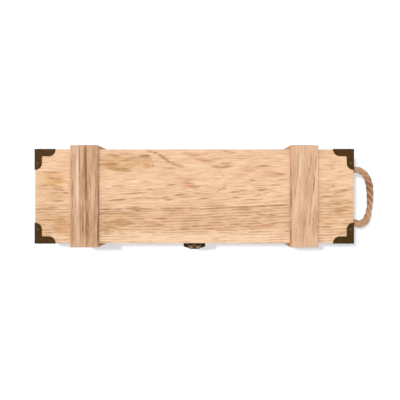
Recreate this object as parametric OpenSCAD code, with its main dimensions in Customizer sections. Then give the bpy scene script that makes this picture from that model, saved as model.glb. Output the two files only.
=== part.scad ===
// Wooden wine box lying on its back: a tray, a hinged lid with two cross battens, corner caps, a clasp
// and a rope handle. The origin is on the surface it stands on, under the middle of the case.
// +X points to the rope handle, -Y to the clasp and +Z up through the lid. Sizes are in millimetres.

/* [Case] */
// Length over the two ends
box_l = 350; // [340:1:370]
// Width over the front and back walls
box_w = 103; // [101:1:112]
// Height of the tray, without its corner caps
tray_h = 77; // [74:1:86]
// Height of the lid, without its battens
lid_h = 26; // [26:1:34]
// Thickness of the walls and of the lid's top board
board_t = 8; // [8:0.5:9]
// Thickness of the bottom board
bottom_t = 6; // [5:0.5:8]
// Depth of the corner rebates that hold the end boards
rebate = 3; // [2:0.5:4]
// Gap between tray and lid
seam = 0.4; // [0.4:0.1:0.6]

/* [Battens] */
// Width of a batten
batten_w = 31; // [28:1:36]
// Thickness of a batten
batten_t = 4.5; // [4:0.5:5]
// Distance from the middle of the case to the middle of a batten
batten_x = 120.5; // [110:0.5:125]

/* [Corner caps] */
// Length of a cap's arms along the box edges
cap_arm = 22.5; // [20:0.5:24]
// Width of a cap's arms
cap_w = 7.5; // [7:0.5:8]
// Thickness of the sheet metal
cap_t = 0.6; // [0.5:0.1:0.8]
// Radius that rounds the end of each arm
cap_end_r = 8; // [8:0.5:10]
// Radius of the fillet between the arms
cap_fillet_r = 1; // [0.5:0.5:2]

/* [Hinges] */
// Length of a hinge leaf
leaf_l = 24; // [22:1:26]
// Thickness of a hinge leaf
leaf_t = 0.7; // [0.6:0.1:0.8]
// Radius of a hinge knuckle
knuckle_r = 1.3; // [1.3:0.1:1.6]
// Distance from the battens' outer face to the hinge axis
axis_out = 0.2; // [0.2:0.1:0.6]

/* [Clasp] */
// Width of the clasp plate and its barrel
clasp_w = 24; // [22:1:26]
// Height of the clasp plate above the barrel's axis
clasp_h = 15; // [13:1:16]
// Thickness of the clasp's sheet metal
clasp_t = 0.9; // [0.8:0.1:1]
// Radius of the clasp's barrel
barrel_r = 2.3; // [2.2:0.1:2.5]
// Width of the hasp's lip and of its knuckle
hasp_w = 12.6; // [11:0.2:13]
// Length of the hasp from its pin to its curled lip
hasp_l = 18.5; // [18:0.5:20]
// Angle at which the hasp stands off the box once it is unsnapped
hasp_open = 8; // [8:1:12]

/* [Rope handle] */
// Diameter of the rope
rope_d = 7.5; // [6:0.5:8]
// Height of the rope holes above the surface the box stands on
rope_z = 50; // [48:1:54]
// Distance of each rope hole from the middle of the end board
rope_y = 29.5; // [27:0.5:30]

/* [Hidden] */
$fn = 48;

// Overlap of a cutting body past the faces it cuts
cut = 1;

// Heights of the faces that the pieces meet at
z_base = cap_t;
z_floor = z_base + bottom_t;
z_tray = z_base + tray_h;
z_lid = z_tray + seam;
z_top = z_lid + lid_h;
z_rim = z_top - board_t;

// Outer faces of the case and of the battens, and the inner face of the walls
wall_x = box_l / 2;
wall_y = box_w / 2;
batten_y = wall_y + batten_t;
inner_x = wall_x - board_t;
inner_y = wall_y - board_t;

// Tacks: round head, thin shank, and the bore that takes the shank
tack_r = 1.9;
tack_h = 0.9;
tack_shank_r = 0.6;
tack_bore_r = 0.65;
tack_l = 5;
// How far a blind bore is drilled past the point of its tack or screw
bore_past = 0.5;
// Places of a cap's tacks, each by its turn and its two distances from the corner: on the top, end and side
// faces. The end and side tacks are at different heights, so that their shanks pass each other.
tack_edge = 3.2;
tack_places = [[0, [tack_edge, 15]], [120, [tack_edge, 12.5]], [240, [17, tack_edge]]];

// Hinges: axis, leaf depth into the wood, pin and screws
hinge_y = batten_y + axis_out;
hinge_z = (z_tray + z_lid) / 2;
leaf_d = 12;
hinge_pin_r = 0.7;
pin_play = 0.05;
knuckle_mid = 8;
knuckle_gap = 0.2;
knuckle_room = 0.4;
// Play round a leaf let into the wood, past each end of its knuckle, and the length that a pin stands out
leaf_play = 0.1;
knuckle_play = 0.3;
pin_out = 0.2;
screw_head_r = 2;
screw_r = 1;
screw_l = 10;
screw_x = 7.5;
screw_y = inner_y + board_t / 2;

// Clasp: the barrel's axis, the hasp's slot and the lug that it snaps over
barrel_gap = 0.2;
barrel_up = 6;
hasp_y = -wall_y - barrel_r - barrel_gap;
hasp_z = z_lid + barrel_up;
hasp_knuckle_r = barrel_r - 0.1;
slot_w = 5;
slot_top = 9.5;
slot_h = 5;
lug_w = 3.8;
lug_h = 3.2;
lug_out = 5.3;
catch_w = 16;
catch_top = z_tray - 1.5;
catch_h = 15;
clasp_corner_r = 4;
catch_corner_r = 5;
clasp_tack_x = 7.5;
clasp_tack_z = hasp_z + 10;
catch_tack_x = 5;
catch_tack_z = catch_top - 11;

// Rope: hole, the loop's ball ends clear of the end board, and the knots inside
rope_r = rope_d / 2;
rope_hole_r = rope_r + 0.35;
loop_gap = 0.3;
loop_x = wall_x + rope_r + loop_gap;
knot_r = 9;
knot_x = inner_x - 6.5;
knot_tail = 16;

// Points that the loop passes, from the back hole round to the front hole: distance out from its start,
// place across and height above the holes
loop_offsets = [
    [0, rope_y, 0], [5.2, rope_y + 1, -1], [10.2, rope_y + 0.3, -2.5], [15.1, rope_y - 2.3, -4.7],
    [19.3, rope_y - 6.7, -7], [22, 16.8, -8.8], [23.4, 9, -10], [23.8, 0, -10.5],
    [23.5, -8.5, -10.5], [22.6, -16, -9.8], [21.1, -22, -8.7], [18.5, -27.6, -7],
    [13.4, -rope_y - 1.8, -4.6], [8.4, -rope_y - 2, -2.3], [4, -rope_y - 1, -0.7], [0, -rope_y, 0],
];
loop_route = [for (offset = loop_offsets) offset + [loop_x, 0, rope_z]];
loop_sides = 10;
loop_steps = 2;
loop_end_angles = [70, 45, 20];

wood = [0.87, 0.68, 0.50];
batten_wood = [0.78, 0.60, 0.45];
bronze = [0.32, 0.23, 0.14];
rope_tan = [0.70, 0.53, 0.38];

// Point on the smooth curve through four neighbouring points, at share t between the middle two
function smooth_point(a, b, c, d, t) =
    0.5 * (2 * b + (c - a) * t + (2 * a - 5 * b + 4 * c - d) * t * t + (3 * b - 3 * c + d - a) * t * t * t);
function route_point(route, i, t) = smooth_point(
    i > 0 ? route[i - 1] : 2 * route[0] - route[1],
    route[i],
    route[i + 1],
    i + 2 < len(route) ? route[i + 2] : 2 * route[i + 1] - route[i],
    t
);
function smooth_route(route, steps) = concat(
    [for (i = [0 : len(route) - 2], k = [0 : steps - 1]) route_point(route, i, k / steps)],
    [route[len(route) - 1]]
);
function unit(v) = v / norm(v);
function tangent(path, i) = unit(path[min(i + 1, len(path) - 1)] - path[max(i - 1, 0)]);
function ring(centre, along, r) =
    let (side = unit(cross(along, [0, 0, 1])), up = cross(side, along))
    [
        for (k = [0 : loop_sides - 1])
            centre + r * (cos(360 * k / loop_sides) * side + sin(360 * k / loop_sides) * up)
    ];
function path_length(path) = sum([for (i = [1 : len(path) - 1]) norm(path[i] - path[i - 1])]);
function sum(list, i = 0) = i < len(list) ? list[i] + sum(list, i + 1) : 0;

// One closed tube with ball ends along a path
module rope_tube(path, r) {
    last = len(path) - 1;
    start_rings = [
        for (a = loop_end_angles)
            ring(path[0] - tangent(path, 0) * r * sin(a), tangent(path, 0), r * cos(a))
    ];
    body_rings = [for (i = [0 : last]) ring(path[i], tangent(path, i), r)];
    end_rings = [
        for (k = [len(loop_end_angles) - 1 : -1 : 0])
            ring(
                path[last] + tangent(path, last) * r * sin(loop_end_angles[k]),
                tangent(path, last),
                r * cos(loop_end_angles[k])
            )
    ];
    rings = concat(start_rings, body_rings, end_rings);
    n = loop_sides;
    points = [for (one = rings, p = one) p];
    sides = [
        for (i = [0 : len(rings) - 2], k = [0 : n - 1], half = [0, 1])
            half == 0
                ? [i * n + k, (i + 1) * n + k, i * n + (k + 1) % n]
                : [i * n + (k + 1) % n, (i + 1) * n + k, (i + 1) * n + (k + 1) % n]
    ];
    first_face = [for (k = [0 : n - 1]) k];
    last_face = [for (k = [n - 1 : -1 : 0]) (len(rings) - 1) * n + k];
    polyhedron(points, concat(sides, [first_face, last_face]));
}

module along_x(x0, x1, r) {
    translate([x0, 0, 0]) rotate([0, 90, 0]) cylinder(r = r, h = x1 - x0);
}

// Round-head tack: the head stands on z = 0 and the shank points down
module tack() {
    ball_r = (tack_r * tack_r + tack_h * tack_h) / (2 * tack_h);
    intersection() {
        translate([0, 0, tack_h - ball_r]) sphere(ball_r);
        cylinder(r = tack_r + cut, h = tack_h + cut);
    }
    translate([0, 0, -tack_l]) cylinder(r = tack_shank_r, h = tack_l);
}

module tack_bore() {
    translate([0, 0, -tack_l - bore_past]) cylinder(r = tack_bore_r, h = tack_l + tack_h);
}

module tack_or_bore(bore) {
    if (bore) {
        tack_bore();
    } else {
        tack();
    }
}

// Corner frame: the children's +x, +y and +z point from the corner into the wood
module at_corner(sx, sy, z, down) {
    translate([sx * wall_x, sy * wall_y, z])
        mirror([sx > 0 ? 1 : 0, 0, 0])
            mirror([0, sy > 0 ? 1 : 0, 0])
                mirror([0, 0, down ? 1 : 0])
                    children();
}

// One face of a corner cap: two arms with rounded ends and a small fillet between them
module cap_face() {
    for (flip = [0, 1]) {
        mirror([flip, -flip]) {
            translate([-cap_t, -cap_t]) square([cap_arm - cap_end_r + cap_t, cap_w + cap_t]);
            intersection() {
                translate([cap_arm - cap_end_r, 0]) circle(cap_end_r);
                translate([cap_arm - cap_end_r - cut, -cap_t]) square([cap_end_r + cut, cap_w + cap_t]);
            }
            translate([cap_arm - cap_end_r, -cap_t]) square([cap_end_r, cap_t]);
        }
    }
    translate([cap_w, cap_w]) difference() {
        square(cap_fillet_r);
        translate([cap_fillet_r, cap_fillet_r]) circle(cap_fillet_r);
    }
}

module corner_cap() {
    for (turn = [0, 120, 240]) {
        rotate(a = turn, v = [1, 1, 1])
            translate([0, 0, -cap_t]) linear_extrude(cap_t) cap_face();
    }
}

// The tacks of one corner, from the given one of its places on
module cap_tacks(first, bore) {
    for (i = [first : len(tack_places) - 1]) {
        rotate(a = tack_places[i][0], v = [1, 1, 1])
            translate([tack_places[i][1].x, tack_places[i][1].y, -cap_t])
                rotate([180, 0, 0]) tack_or_bore(bore);
    }
}

// Every cap's tacks on the lid, or on the tray, which has none underneath
module corner_tacks(lid, bore) {
    for (sx = [-1, 1], sy = [-1, 1]) {
        at_corner(sx, sy, lid ? z_top : z_base, lid) cap_tacks(lid ? 0 : 1, bore);
    }
}

module cap_at(sx, sy, lid) {
    color(bronze) difference() {
        at_corner(sx, sy, lid ? z_top : z_base, lid) corner_cap();
        corner_tacks(lid, true);
    }
}

// Front or back wall of the tray or lid, with rebates for the end boards
module long_wall(side, z0, z1) {
    difference() {
        translate([-wall_x, side > 0 ? inner_y : -wall_y, z0]) cube([box_l, board_t, z1 - z0]);
        for (end = [-1, 1]) {
            translate([
                end > 0 ? inner_x : -wall_x - cut,
                side > 0 ? inner_y - cut : -inner_y - rebate,
                z0 - cut,
            ])
                cube([board_t + cut, rebate + cut, z1 - z0 + 2 * cut]);
        }
    }
}

module end_wall(side, z0, z1) {
    half_y = inner_y + rebate;
    translate([side > 0 ? inner_x : -wall_x, -half_y, z0]) cube([board_t, 2 * half_y, z1 - z0]);
}

module side_batten(sx, sy, z0, z1) {
    translate([sx * batten_x - batten_w / 2, sy > 0 ? wall_y : -batten_y, z0])
        cube([batten_w, batten_t, z1 - z0]);
}

// Room in the wood for a hinge's two leaves and its knuckle
module hinge_gain(sx) {
    translate([sx * batten_x, 0, 0]) {
        translate([-leaf_l / 2 - leaf_play, hinge_y - leaf_d - leaf_play, z_tray - leaf_t])
            cube([leaf_l + 2 * leaf_play, leaf_d + cut, seam + 2 * leaf_t]);
        translate([0, hinge_y, hinge_z])
            along_x(-leaf_l / 2 - knuckle_play, leaf_l / 2 + knuckle_play, knuckle_r + knuckle_room);
    }
}

// The screws of one hinge's leaves: up into the lid or down into the tray
module hinge_screws_at(sx, lid, play) {
    face_z = lid ? z_lid : z_tray;
    for (s = [-1, 1]) {
        translate([sx * batten_x + s * screw_x, screw_y, face_z]) mirror([0, 0, lid ? 1 : 0]) {
            translate([0, 0, -leaf_t]) cylinder(r1 = screw_r + play, r2 = screw_head_r + play, h = leaf_t);
            translate([0, 0, -screw_l]) cylinder(r = screw_r + play, h = screw_l);
            if (play > 0) {
                translate([0, 0, -screw_l - bore_past]) cylinder(r = screw_r + play, h = 2 * bore_past);
            }
        }
    }
}

module hinge_screws(lid) {
    slot_deep = 0.3;
    slot_wide = 0.5;
    slot_turn = 25;
    color(bronze) difference() {
        for (sx = [-1, 1]) {
            hinge_screws_at(sx, lid, 0);
        }
        for (sx = [-1, 1], s = [-1, 1]) {
            translate([sx * batten_x + s * screw_x, screw_y, lid ? z_lid : z_tray])
                rotate([0, 0, slot_turn * s])
                    cube([2 * screw_head_r + cut, slot_wide, 2 * slot_deep], center = true);
        }
    }
}

module body_hinge_leaf(sx) {
    mid = knuckle_mid / 2;
    color(bronze) difference() {
        translate([sx * batten_x, 0, 0]) difference() {
            union() {
                translate([-leaf_l / 2, hinge_y - leaf_d, z_tray - leaf_t]) cube([leaf_l, leaf_d, leaf_t]);
                translate([0, hinge_y, hinge_z]) {
                    along_x(-leaf_l / 2, leaf_l / 2, knuckle_r);
                }
            }
            translate([0, hinge_y, hinge_z]) {
                along_x(-mid - knuckle_gap, mid + knuckle_gap, knuckle_r + knuckle_room);
                along_x(-leaf_l, leaf_l, hinge_pin_r + pin_play);
            }
        }
        hinge_screws_at(sx, false, pin_play);
    }
}

module lid_hinge_leaf(sx) {
    mid = knuckle_mid / 2;
    color(bronze) difference() {
        translate([sx * batten_x, hinge_y, 0]) difference() {
            union() {
                difference() {
                    translate([-leaf_l / 2, -leaf_d, z_lid]) cube([leaf_l, leaf_d, leaf_t]);
                    for (s = [-1, 1]) {
                        translate([0, 0, hinge_z])
                            along_x(
                                s > 0 ? mid : -leaf_l,
                                s > 0 ? leaf_l : -mid,
                                knuckle_r + knuckle_room
                            );
                    }
                }
                translate([0, 0, hinge_z]) along_x(-mid, mid, knuckle_r);
            }
            translate([0, 0, hinge_z]) along_x(-leaf_l, leaf_l, hinge_pin_r + pin_play);
        }
        hinge_screws_at(sx, true, pin_play);
    }
}

module hinge_pin(sx) {
    color(bronze) translate([sx * batten_x, hinge_y, hinge_z])
        along_x(-leaf_l / 2 - pin_out, leaf_l / 2 + pin_out, hinge_pin_r);
}

// Children stand on the front face: their x stays, their y points up and their z points out of the box
module on_front() {
    translate([0, -wall_y, 0]) rotate([90, 0, 0]) children();
}

module clasp_tack_set(bore) {
    for (s = [-1, 1]) {
        on_front() translate([s * clasp_tack_x, clasp_tack_z, clasp_t]) tack_or_bore(bore);
    }
}

module catch_tack_set(bore) {
    for (s = [-1, 1]) {
        on_front() translate([s * catch_tack_x, catch_tack_z, clasp_t]) tack_or_bore(bore);
    }
}

// Flat plate with two round corners at its far end
module plate_outline(w, h, r) {
    translate([-w / 2, 0]) square([w, h - r]);
    translate([-w / 2 + r, 0]) square([w - 2 * r, h]);
    for (s = [-1, 1]) {
        translate([s * (w / 2 - r), h - r]) circle(r);
    }
}

module bottom_board() {
    color(wood) difference() {
        translate([-wall_x, -wall_y, z_base]) cube([box_l, box_w, bottom_t]);
        corner_tacks(false, true);
    }
}

module front_wall() {
    color(wood) difference() {
        long_wall(-1, z_floor, z_tray);
        corner_tacks(false, true);
        catch_tack_set(true);
    }
}

module back_wall() {
    color(wood) difference() {
        long_wall(1, z_floor, z_tray);
        corner_tacks(false, true);
        for (sx = [-1, 1]) {
            hinge_gain(sx);
            hinge_screws_at(sx, false, pin_play);
        }
    }
}

module left_end() {
    color(wood) difference() {
        end_wall(-1, z_floor, z_tray);
        corner_tacks(false, true);
    }
}

module right_end() {
    color(wood) difference() {
        end_wall(1, z_floor, z_tray);
        corner_tacks(false, true);
        for (s = [-1, 1]) {
            translate([0, s * rope_y, rope_z]) along_x(inner_x - cut, wall_x + cut, rope_hole_r);
        }
    }
}

module body_batten(sx, sy) {
    color(batten_wood) difference() {
        side_batten(sx, sy, z_base, z_tray);
        hinge_gain(sx);
    }
}

module base_corner_tacks() {
    color(bronze) corner_tacks(false, false);
}

// Lower clasp plate, with the lug that the hasp's slot snaps over
module catch_plate() {
    nose_r = lug_h / 2;
    color(bronze) difference() {
        union() {
            on_front() translate([0, catch_top, 0]) mirror([0, 1, 0])
                linear_extrude(clasp_t) plate_outline(catch_w, catch_h, catch_corner_r);
            translate([-lug_w / 2, -wall_y - lug_out + nose_r, hasp_z - slot_top - slot_h / 2 - nose_r])
                cube([lug_w, lug_out - nose_r, lug_h]);
            translate([0, -wall_y - lug_out + nose_r, hasp_z - slot_top - slot_h / 2])
                along_x(-lug_w / 2, lug_w / 2, nose_r);
        }
        catch_tack_set(true);
    }
}

module catch_tacks() {
    color(bronze) catch_tack_set(false);
}

// Rope inside its hole, from the knot to the end board's outer face
module rope_stub(s) {
    color(rope_tan) translate([0, s * rope_y, rope_z]) along_x(inner_x, wall_x, rope_r);
}

// Knot against the end board's inner face, with the rope's short tail
module rope_knot(s) {
    color(rope_tan) translate([0, s * rope_y, rope_z]) {
        intersection() {
            translate([knot_x, 0, 0]) sphere(knot_r);
            along_x(knot_x - 2 * knot_r, inner_x, 2 * knot_r);
        }
        along_x(knot_x - knot_tail, knot_x, rope_r);
    }
}

module lid_board() {
    color(wood) difference() {
        translate([-wall_x, -wall_y, z_rim]) cube([box_l, box_w, board_t]);
        corner_tacks(true, true);
    }
}

module lid_rim_front() {
    color(wood) difference() {
        long_wall(-1, z_lid, z_rim);
        corner_tacks(true, true);
        clasp_tack_set(true);
    }
}

module lid_rim_back() {
    color(wood) difference() {
        long_wall(1, z_lid, z_rim);
        corner_tacks(true, true);
        for (sx = [-1, 1]) {
            hinge_gain(sx);
            hinge_screws_at(sx, true, pin_play);
        }
    }
}

module lid_rim_end(side) {
    color(wood) difference() {
        end_wall(side, z_lid, z_rim);
        corner_tacks(true, true);
    }
}

module lid_batten_top(sx) {
    color(batten_wood) translate([sx * batten_x - batten_w / 2, -batten_y, z_top])
        cube([batten_w, 2 * batten_y, batten_t]);
}

module lid_batten_side(sx, sy) {
    color(batten_wood) difference() {
        side_batten(sx, sy, z_lid, z_top);
        hinge_gain(sx);
    }
}

module lid_corner_tacks() {
    color(bronze) corner_tacks(true, false);
}

// Upper clasp plate with the two outer segments of the barrel
module clasp_plate() {
    mid = hasp_w / 2 + knuckle_gap;
    color(bronze) difference() {
        union() {
            on_front() translate([0, hasp_z, 0])
                linear_extrude(clasp_t) plate_outline(clasp_w, clasp_h, clasp_corner_r);
            translate([0, hasp_y, hasp_z]) along_x(-clasp_w / 2, clasp_w / 2, barrel_r);
        }
        translate([0, hasp_y, hasp_z]) {
            along_x(-mid, mid, barrel_r + knuckle_room);
            along_x(-clasp_w, clasp_w, hinge_pin_r + pin_play);
        }
        clasp_tack_set(true);
    }
}

module clasp_tacks() {
    color(bronze) clasp_tack_set(false);
}

module clasp_pin() {
    color(bronze) translate([0, hasp_y, hasp_z])
        along_x(-clasp_w / 2 - pin_out, clasp_w / 2 + pin_out, hinge_pin_r);
}

// The hasp's side view: a flat sheet that ends in a lip curled away from the box
module hasp_profile() {
    outer = hasp_knuckle_r;
    inner = hasp_knuckle_r - clasp_t;
    curl_r = 1.4;
    curl_angle = 70;
    reach = 8;
    translate([-outer, -hasp_l]) square([clasp_t, hasp_l]);
    translate([-outer - curl_r, -hasp_l]) intersection() {
        difference() {
            circle(curl_r + outer - inner);
            circle(curl_r);
        }
        polygon([
            [0, 0],
            [reach, 0],
            [reach, -reach],
            [reach * cos(curl_angle), -reach * sin(curl_angle)],
        ]);
    }
}

// The hasp's front view: a neck at the barrel, wide shoulders and a tongue that narrows to the lip
module hasp_outline() {
    shoulder_w = 10.5;
    polygon([
        [hasp_w / 2, 1], [hasp_w / 2, -2.8], [shoulder_w, -3.8], [shoulder_w, -5], [9.6, -9], [8, -14],
        [6.8, -17.5], [hasp_w / 2, -20], [5.4, -22], [-5.4, -22], [-hasp_w / 2, -20], [-6.8, -17.5],
        [-8, -14], [-9.6, -9], [-shoulder_w, -5], [-shoulder_w, -3.8], [-hasp_w / 2, -2.8], [-hasp_w / 2, 1],
    ]);
}

module hasp() {
    reach = 10;
    color(bronze) translate([0, hasp_y, hasp_z]) rotate([-hasp_open, 0, 0]) difference() {
        union() {
            intersection() {
                translate([-clasp_w / 2, 0, 0]) rotate([90, 0, 90]) linear_extrude(clasp_w) hasp_profile();
                translate([0, cut, 0]) rotate([90, 0, 0]) linear_extrude(reach) hasp_outline();
            }
            along_x(-hasp_w / 2, hasp_w / 2, hasp_knuckle_r);
        }
        along_x(-clasp_w, clasp_w, hinge_pin_r + pin_play);
        translate([-slot_w / 2, -reach, -slot_top - slot_h]) cube([slot_w, reach, slot_h]);
    }
}

module rope_loop() {
    path = smooth_route(loop_route, loop_steps);
    echo(loop_length = path_length(path));
    color(rope_tan) rope_tube(path, rope_r);
}

bottom_board();
front_wall();
back_wall();
left_end();
right_end();
body_batten(-1, -1);  // body_batten_front_left
body_batten(1, -1);  // body_batten_front_right
body_batten(-1, 1);  // body_batten_back_left
body_batten(1, 1);  // body_batten_back_right
cap_at(-1, -1, false);  // base_corner_front_left
cap_at(1, -1, false);  // base_corner_front_right
cap_at(-1, 1, false);  // base_corner_back_left
cap_at(1, 1, false);  // base_corner_back_right
base_corner_tacks();
catch_plate();
catch_tacks();
body_hinge_leaf(-1);  // body_hinge_leaf_left
body_hinge_leaf(1);  // body_hinge_leaf_right
hinge_screws(false);  // body_hinge_screws
hinge_pin(-1);  // hinge_pin_left
hinge_pin(1);  // hinge_pin_right
rope_stub(-1);  // rope_stub_front
rope_stub(1);  // rope_stub_back
rope_knot(-1);  // rope_knot_front
rope_knot(1);  // rope_knot_back
lid_board();
lid_rim_front();
lid_rim_back();
lid_rim_end(-1);  // lid_rim_left
lid_rim_end(1);  // lid_rim_right
lid_batten_top(-1);  // lid_batten_top_left
lid_batten_top(1);  // lid_batten_top_right
lid_batten_side(-1, -1);  // lid_batten_front_left
lid_batten_side(1, -1);  // lid_batten_front_right
lid_batten_side(-1, 1);  // lid_batten_back_left
lid_batten_side(1, 1);  // lid_batten_back_right
cap_at(-1, -1, true);  // lid_corner_front_left
cap_at(1, -1, true);  // lid_corner_front_right
cap_at(-1, 1, true);  // lid_corner_back_left
cap_at(1, 1, true);  // lid_corner_back_right
lid_corner_tacks();
lid_hinge_leaf(-1);  // lid_hinge_leaf_left
lid_hinge_leaf(1);  // lid_hinge_leaf_right
hinge_screws(true);  // lid_hinge_screws
clasp_plate();
clasp_tacks();
clasp_pin();
hasp();
rope_loop();
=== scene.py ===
"""The looks of the wooden wine box: eased and figured timber, antique bronze fittings and a laid rope handle.

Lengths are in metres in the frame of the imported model, with +Z up, +X to the rope handle and -Y to the clasp.
"""

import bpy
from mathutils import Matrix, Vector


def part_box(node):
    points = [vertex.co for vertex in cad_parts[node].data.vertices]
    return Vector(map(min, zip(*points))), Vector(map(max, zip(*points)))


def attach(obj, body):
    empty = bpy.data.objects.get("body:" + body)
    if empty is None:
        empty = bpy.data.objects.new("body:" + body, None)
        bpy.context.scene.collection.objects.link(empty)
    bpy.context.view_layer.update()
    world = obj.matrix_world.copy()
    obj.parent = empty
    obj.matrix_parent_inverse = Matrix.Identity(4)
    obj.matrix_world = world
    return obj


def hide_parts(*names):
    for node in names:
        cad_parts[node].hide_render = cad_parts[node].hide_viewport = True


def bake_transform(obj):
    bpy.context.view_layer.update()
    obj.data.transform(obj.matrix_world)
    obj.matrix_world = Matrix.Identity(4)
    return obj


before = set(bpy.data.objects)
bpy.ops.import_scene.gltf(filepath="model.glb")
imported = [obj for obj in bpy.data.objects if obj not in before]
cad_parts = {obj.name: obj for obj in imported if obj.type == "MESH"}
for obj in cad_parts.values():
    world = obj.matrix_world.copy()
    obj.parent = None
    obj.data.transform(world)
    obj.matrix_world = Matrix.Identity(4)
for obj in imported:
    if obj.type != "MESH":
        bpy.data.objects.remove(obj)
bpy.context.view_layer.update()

import math
import random
from contextlib import contextmanager

import bmesh
import bpy
from bpy.props import FloatProperty, FloatVectorProperty, IntProperty, PointerProperty
from bpy.types import Operator, Panel, PropertyGroup
from mathutils import Matrix, Vector

bl_info = {
    "name": "Wooden Wine Box",
    "version": (1, 0, 0),
    "blender": (4, 5, 0),
    "location": "3D View > Sidebar > Wine Box",
    "description": "Models the looks of a hinged timber wine box with bronze fittings and a rope handle",
    "category": "Object",
}

MM = 0.001
# Places closer than this, in metres, are the same, and an edge's middle this close to a face lies on it
NEAR = 1e-6
ON_FACE = 0.02 * MM


def srgb(red, green, blue):
    """A colour read off a screen, 0 to 255, as the linear values that materials take."""
    return tuple(
        part / 3294.6 if part <= 10.31 else ((part / 255 + 0.055) / 1.055) ** 2.4
        for part in (red, green, blue)
    )


def colour_property(name, description, default):
    return FloatVectorProperty(
        name=name, description=description, default=default, subtype="COLOR", size=3, min=0, max=1
    )


def length_property(name, description, default):
    return FloatProperty(
        name=name, description=description, default=default, subtype="DISTANCE", unit="LENGTH", min=0
    )


class WineBoxTimberSettings(PropertyGroup):
    pale: colour_property("Pale Wood", "Palest early wood of the case", srgb(250, 212, 175))
    tan: colour_property("Tan Wood", "Darker heart of the case's boards", srgb(214, 168, 126))
    line: colour_property("Grain Line", "Late wood at the end of each year's ring", srgb(150, 103, 68))
    batten_pale: colour_property("Pale Batten", "Palest wood of the battens", srgb(232, 191, 156))
    batten_tan: colour_property("Tan Batten", "Darker wood of the battens", srgb(170, 126, 92))
    ease: length_property("Eased Edge", "Radius of the sanded outer edges of a board", 0.8 * MM)
    seam_ease: FloatProperty(
        name="Seam Share", description="Share of that radius on edges that meet another board",
        default=0.35, subtype="FACTOR", min=0, max=1,
    )


class WineBoxBronzeSettings(PropertyGroup):
    dark: colour_property("Dark Bronze", "Browned face of the fittings", srgb(74, 50, 27))
    olive: colour_property("Olive Bronze", "Greener patches of the fittings", srgb(56, 43, 19))
    # Deep Bronze also paints the shade on the clasp's barrel and on the hasp.
    deep: colour_property("Deep Bronze", "Blackened specks of the fittings", srgb(38, 26, 15))
    worn: colour_property("Worn Bronze", "Metal rubbed bright on edges", srgb(112, 84, 56))
    # This colour also paints the highlights on the hasp's lobes and left shoulder.
    handled: colour_property("Handled Bronze", "Metal that fingers have rubbed", srgb(146, 126, 88))
    fold: length_property("Fold Radius", "Radius of a corner cap's folded edges", 0.5 * MM)


class WineBoxRopeSettings(PropertyGroup):
    diameter: length_property("Diameter", "Diameter of the laid rope", 7.5 * MM)
    lay: length_property("Lay Length", "Length in which a strand goes once round", 25 * MM)
    strands: IntProperty(name="Strands", description="Strands laid together", default=3, min=2, max=4)
    yarns: IntProperty(name="Yarns", description="Yarns seen round the whole rope", default=20, min=6, max=40)
    fibres: IntProperty(name="Fibres", description="Loose fibres on the loop", default=240, min=0, max=600)
    tan: colour_property("Rope Tan", "Outside of the strands", srgb(206, 164, 130))
    brown: colour_property("Rope Brown", "Shaded valleys between strands", srgb(140, 98, 66))
    pale: colour_property("Rope Pale", "Stretches that the light has bleached", srgb(228, 190, 158))


class WineBoxStageSettings(PropertyGroup):
    height: length_property("Camera Height", "Height of the camera above the lid", 1.2)
    view_width: length_property("View Width", "Width that the picture covers at the lid", 439.6 * MM)
    sky: FloatProperty(name="Sky", description="Light from all round", default=0.62, min=0, max=2)
    key: FloatProperty(name="Key", description="Light from the lamp above", default=0.42, min=0, max=2)
    side: FloatProperty(name="Side", description="Light from a wide left lamp", default=0.12, min=0, max=2)


def settings(part):
    return getattr(bpy.context.scene, "wine_box_" + part)


def deselect():
    bpy.ops.object.select_all(action="DESELECT")


def activate(obj):
    deselect()
    obj.select_set(True)
    bpy.context.view_layer.objects.active = obj


@contextmanager
def edit_mode(obj, kind="FACE"):
    """Edit mode on one object, with nothing selected in it at first."""
    activate(obj)
    bpy.ops.object.mode_set(mode="EDIT")
    bpy.ops.mesh.select_mode(type=kind)
    bpy.ops.mesh.select_all(action="DESELECT")
    yield
    bpy.ops.object.mode_set(mode="OBJECT")


def pick(obj, kind, rule):
    """Selects the faces, edges or verts whose middle the rule is true for, in edit mode."""
    bpy.ops.mesh.select_all(action="DESELECT")
    shape = bmesh.from_edit_mesh(obj.data)
    for item in getattr(shape, kind):
        if kind == "verts":
            middle = item.co
        elif kind == "edges":
            middle = (item.verts[0].co + item.verts[1].co) / 2
        else:
            middle = item.calc_center_median()
        if rule(middle):
            item.select_set(True)
    shape.select_flush_mode()
    bmesh.update_edit_mesh(obj.data)


def bisect(point, normal, **options):
    bpy.ops.mesh.select_all(action="SELECT")
    bpy.ops.mesh.bisect(plane_co=point, plane_no=normal, **options)


def push(offset):
    """Extrudes what is selected by the offset."""
    bpy.ops.mesh.extrude_region_move(TRANSFORM_OT_translate={"value": tuple(offset)})


def settle():
    """Puts the active object's place, turn and size into its mesh."""
    bpy.ops.object.transform_apply(location=True, rotation=True, scale=True)


def block(name, low, high):
    """A cube primitive between two corners."""
    low, high = Vector(low), Vector(high)
    deselect()
    bpy.ops.mesh.primitive_cube_add(size=1, location=(low + high) / 2)
    obj = bpy.context.object
    obj.name = name
    obj.scale = high - low
    settle()
    return obj


def rod(name, centre, axis, radius, length, sides=32):
    """A cylinder primitive along an axis, X, Y or Z."""
    turns = {"X": (0, math.pi / 2, 0), "Y": (math.pi / 2, 0, 0), "Z": (0, 0, 0)}
    deselect()
    bpy.ops.mesh.primitive_cylinder_add(
        vertices=sides, radius=radius, depth=length, location=centre, rotation=turns[axis]
    )
    obj = bpy.context.object
    obj.name = name
    settle()
    return obj


def apply_modifier(obj, name, kind, **values):
    activate(obj)
    modifier = obj.modifiers.new(name, kind)
    for key, value in values.items():
        setattr(modifier, key, value)
    bpy.ops.object.modifier_apply(modifier=name)


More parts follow.
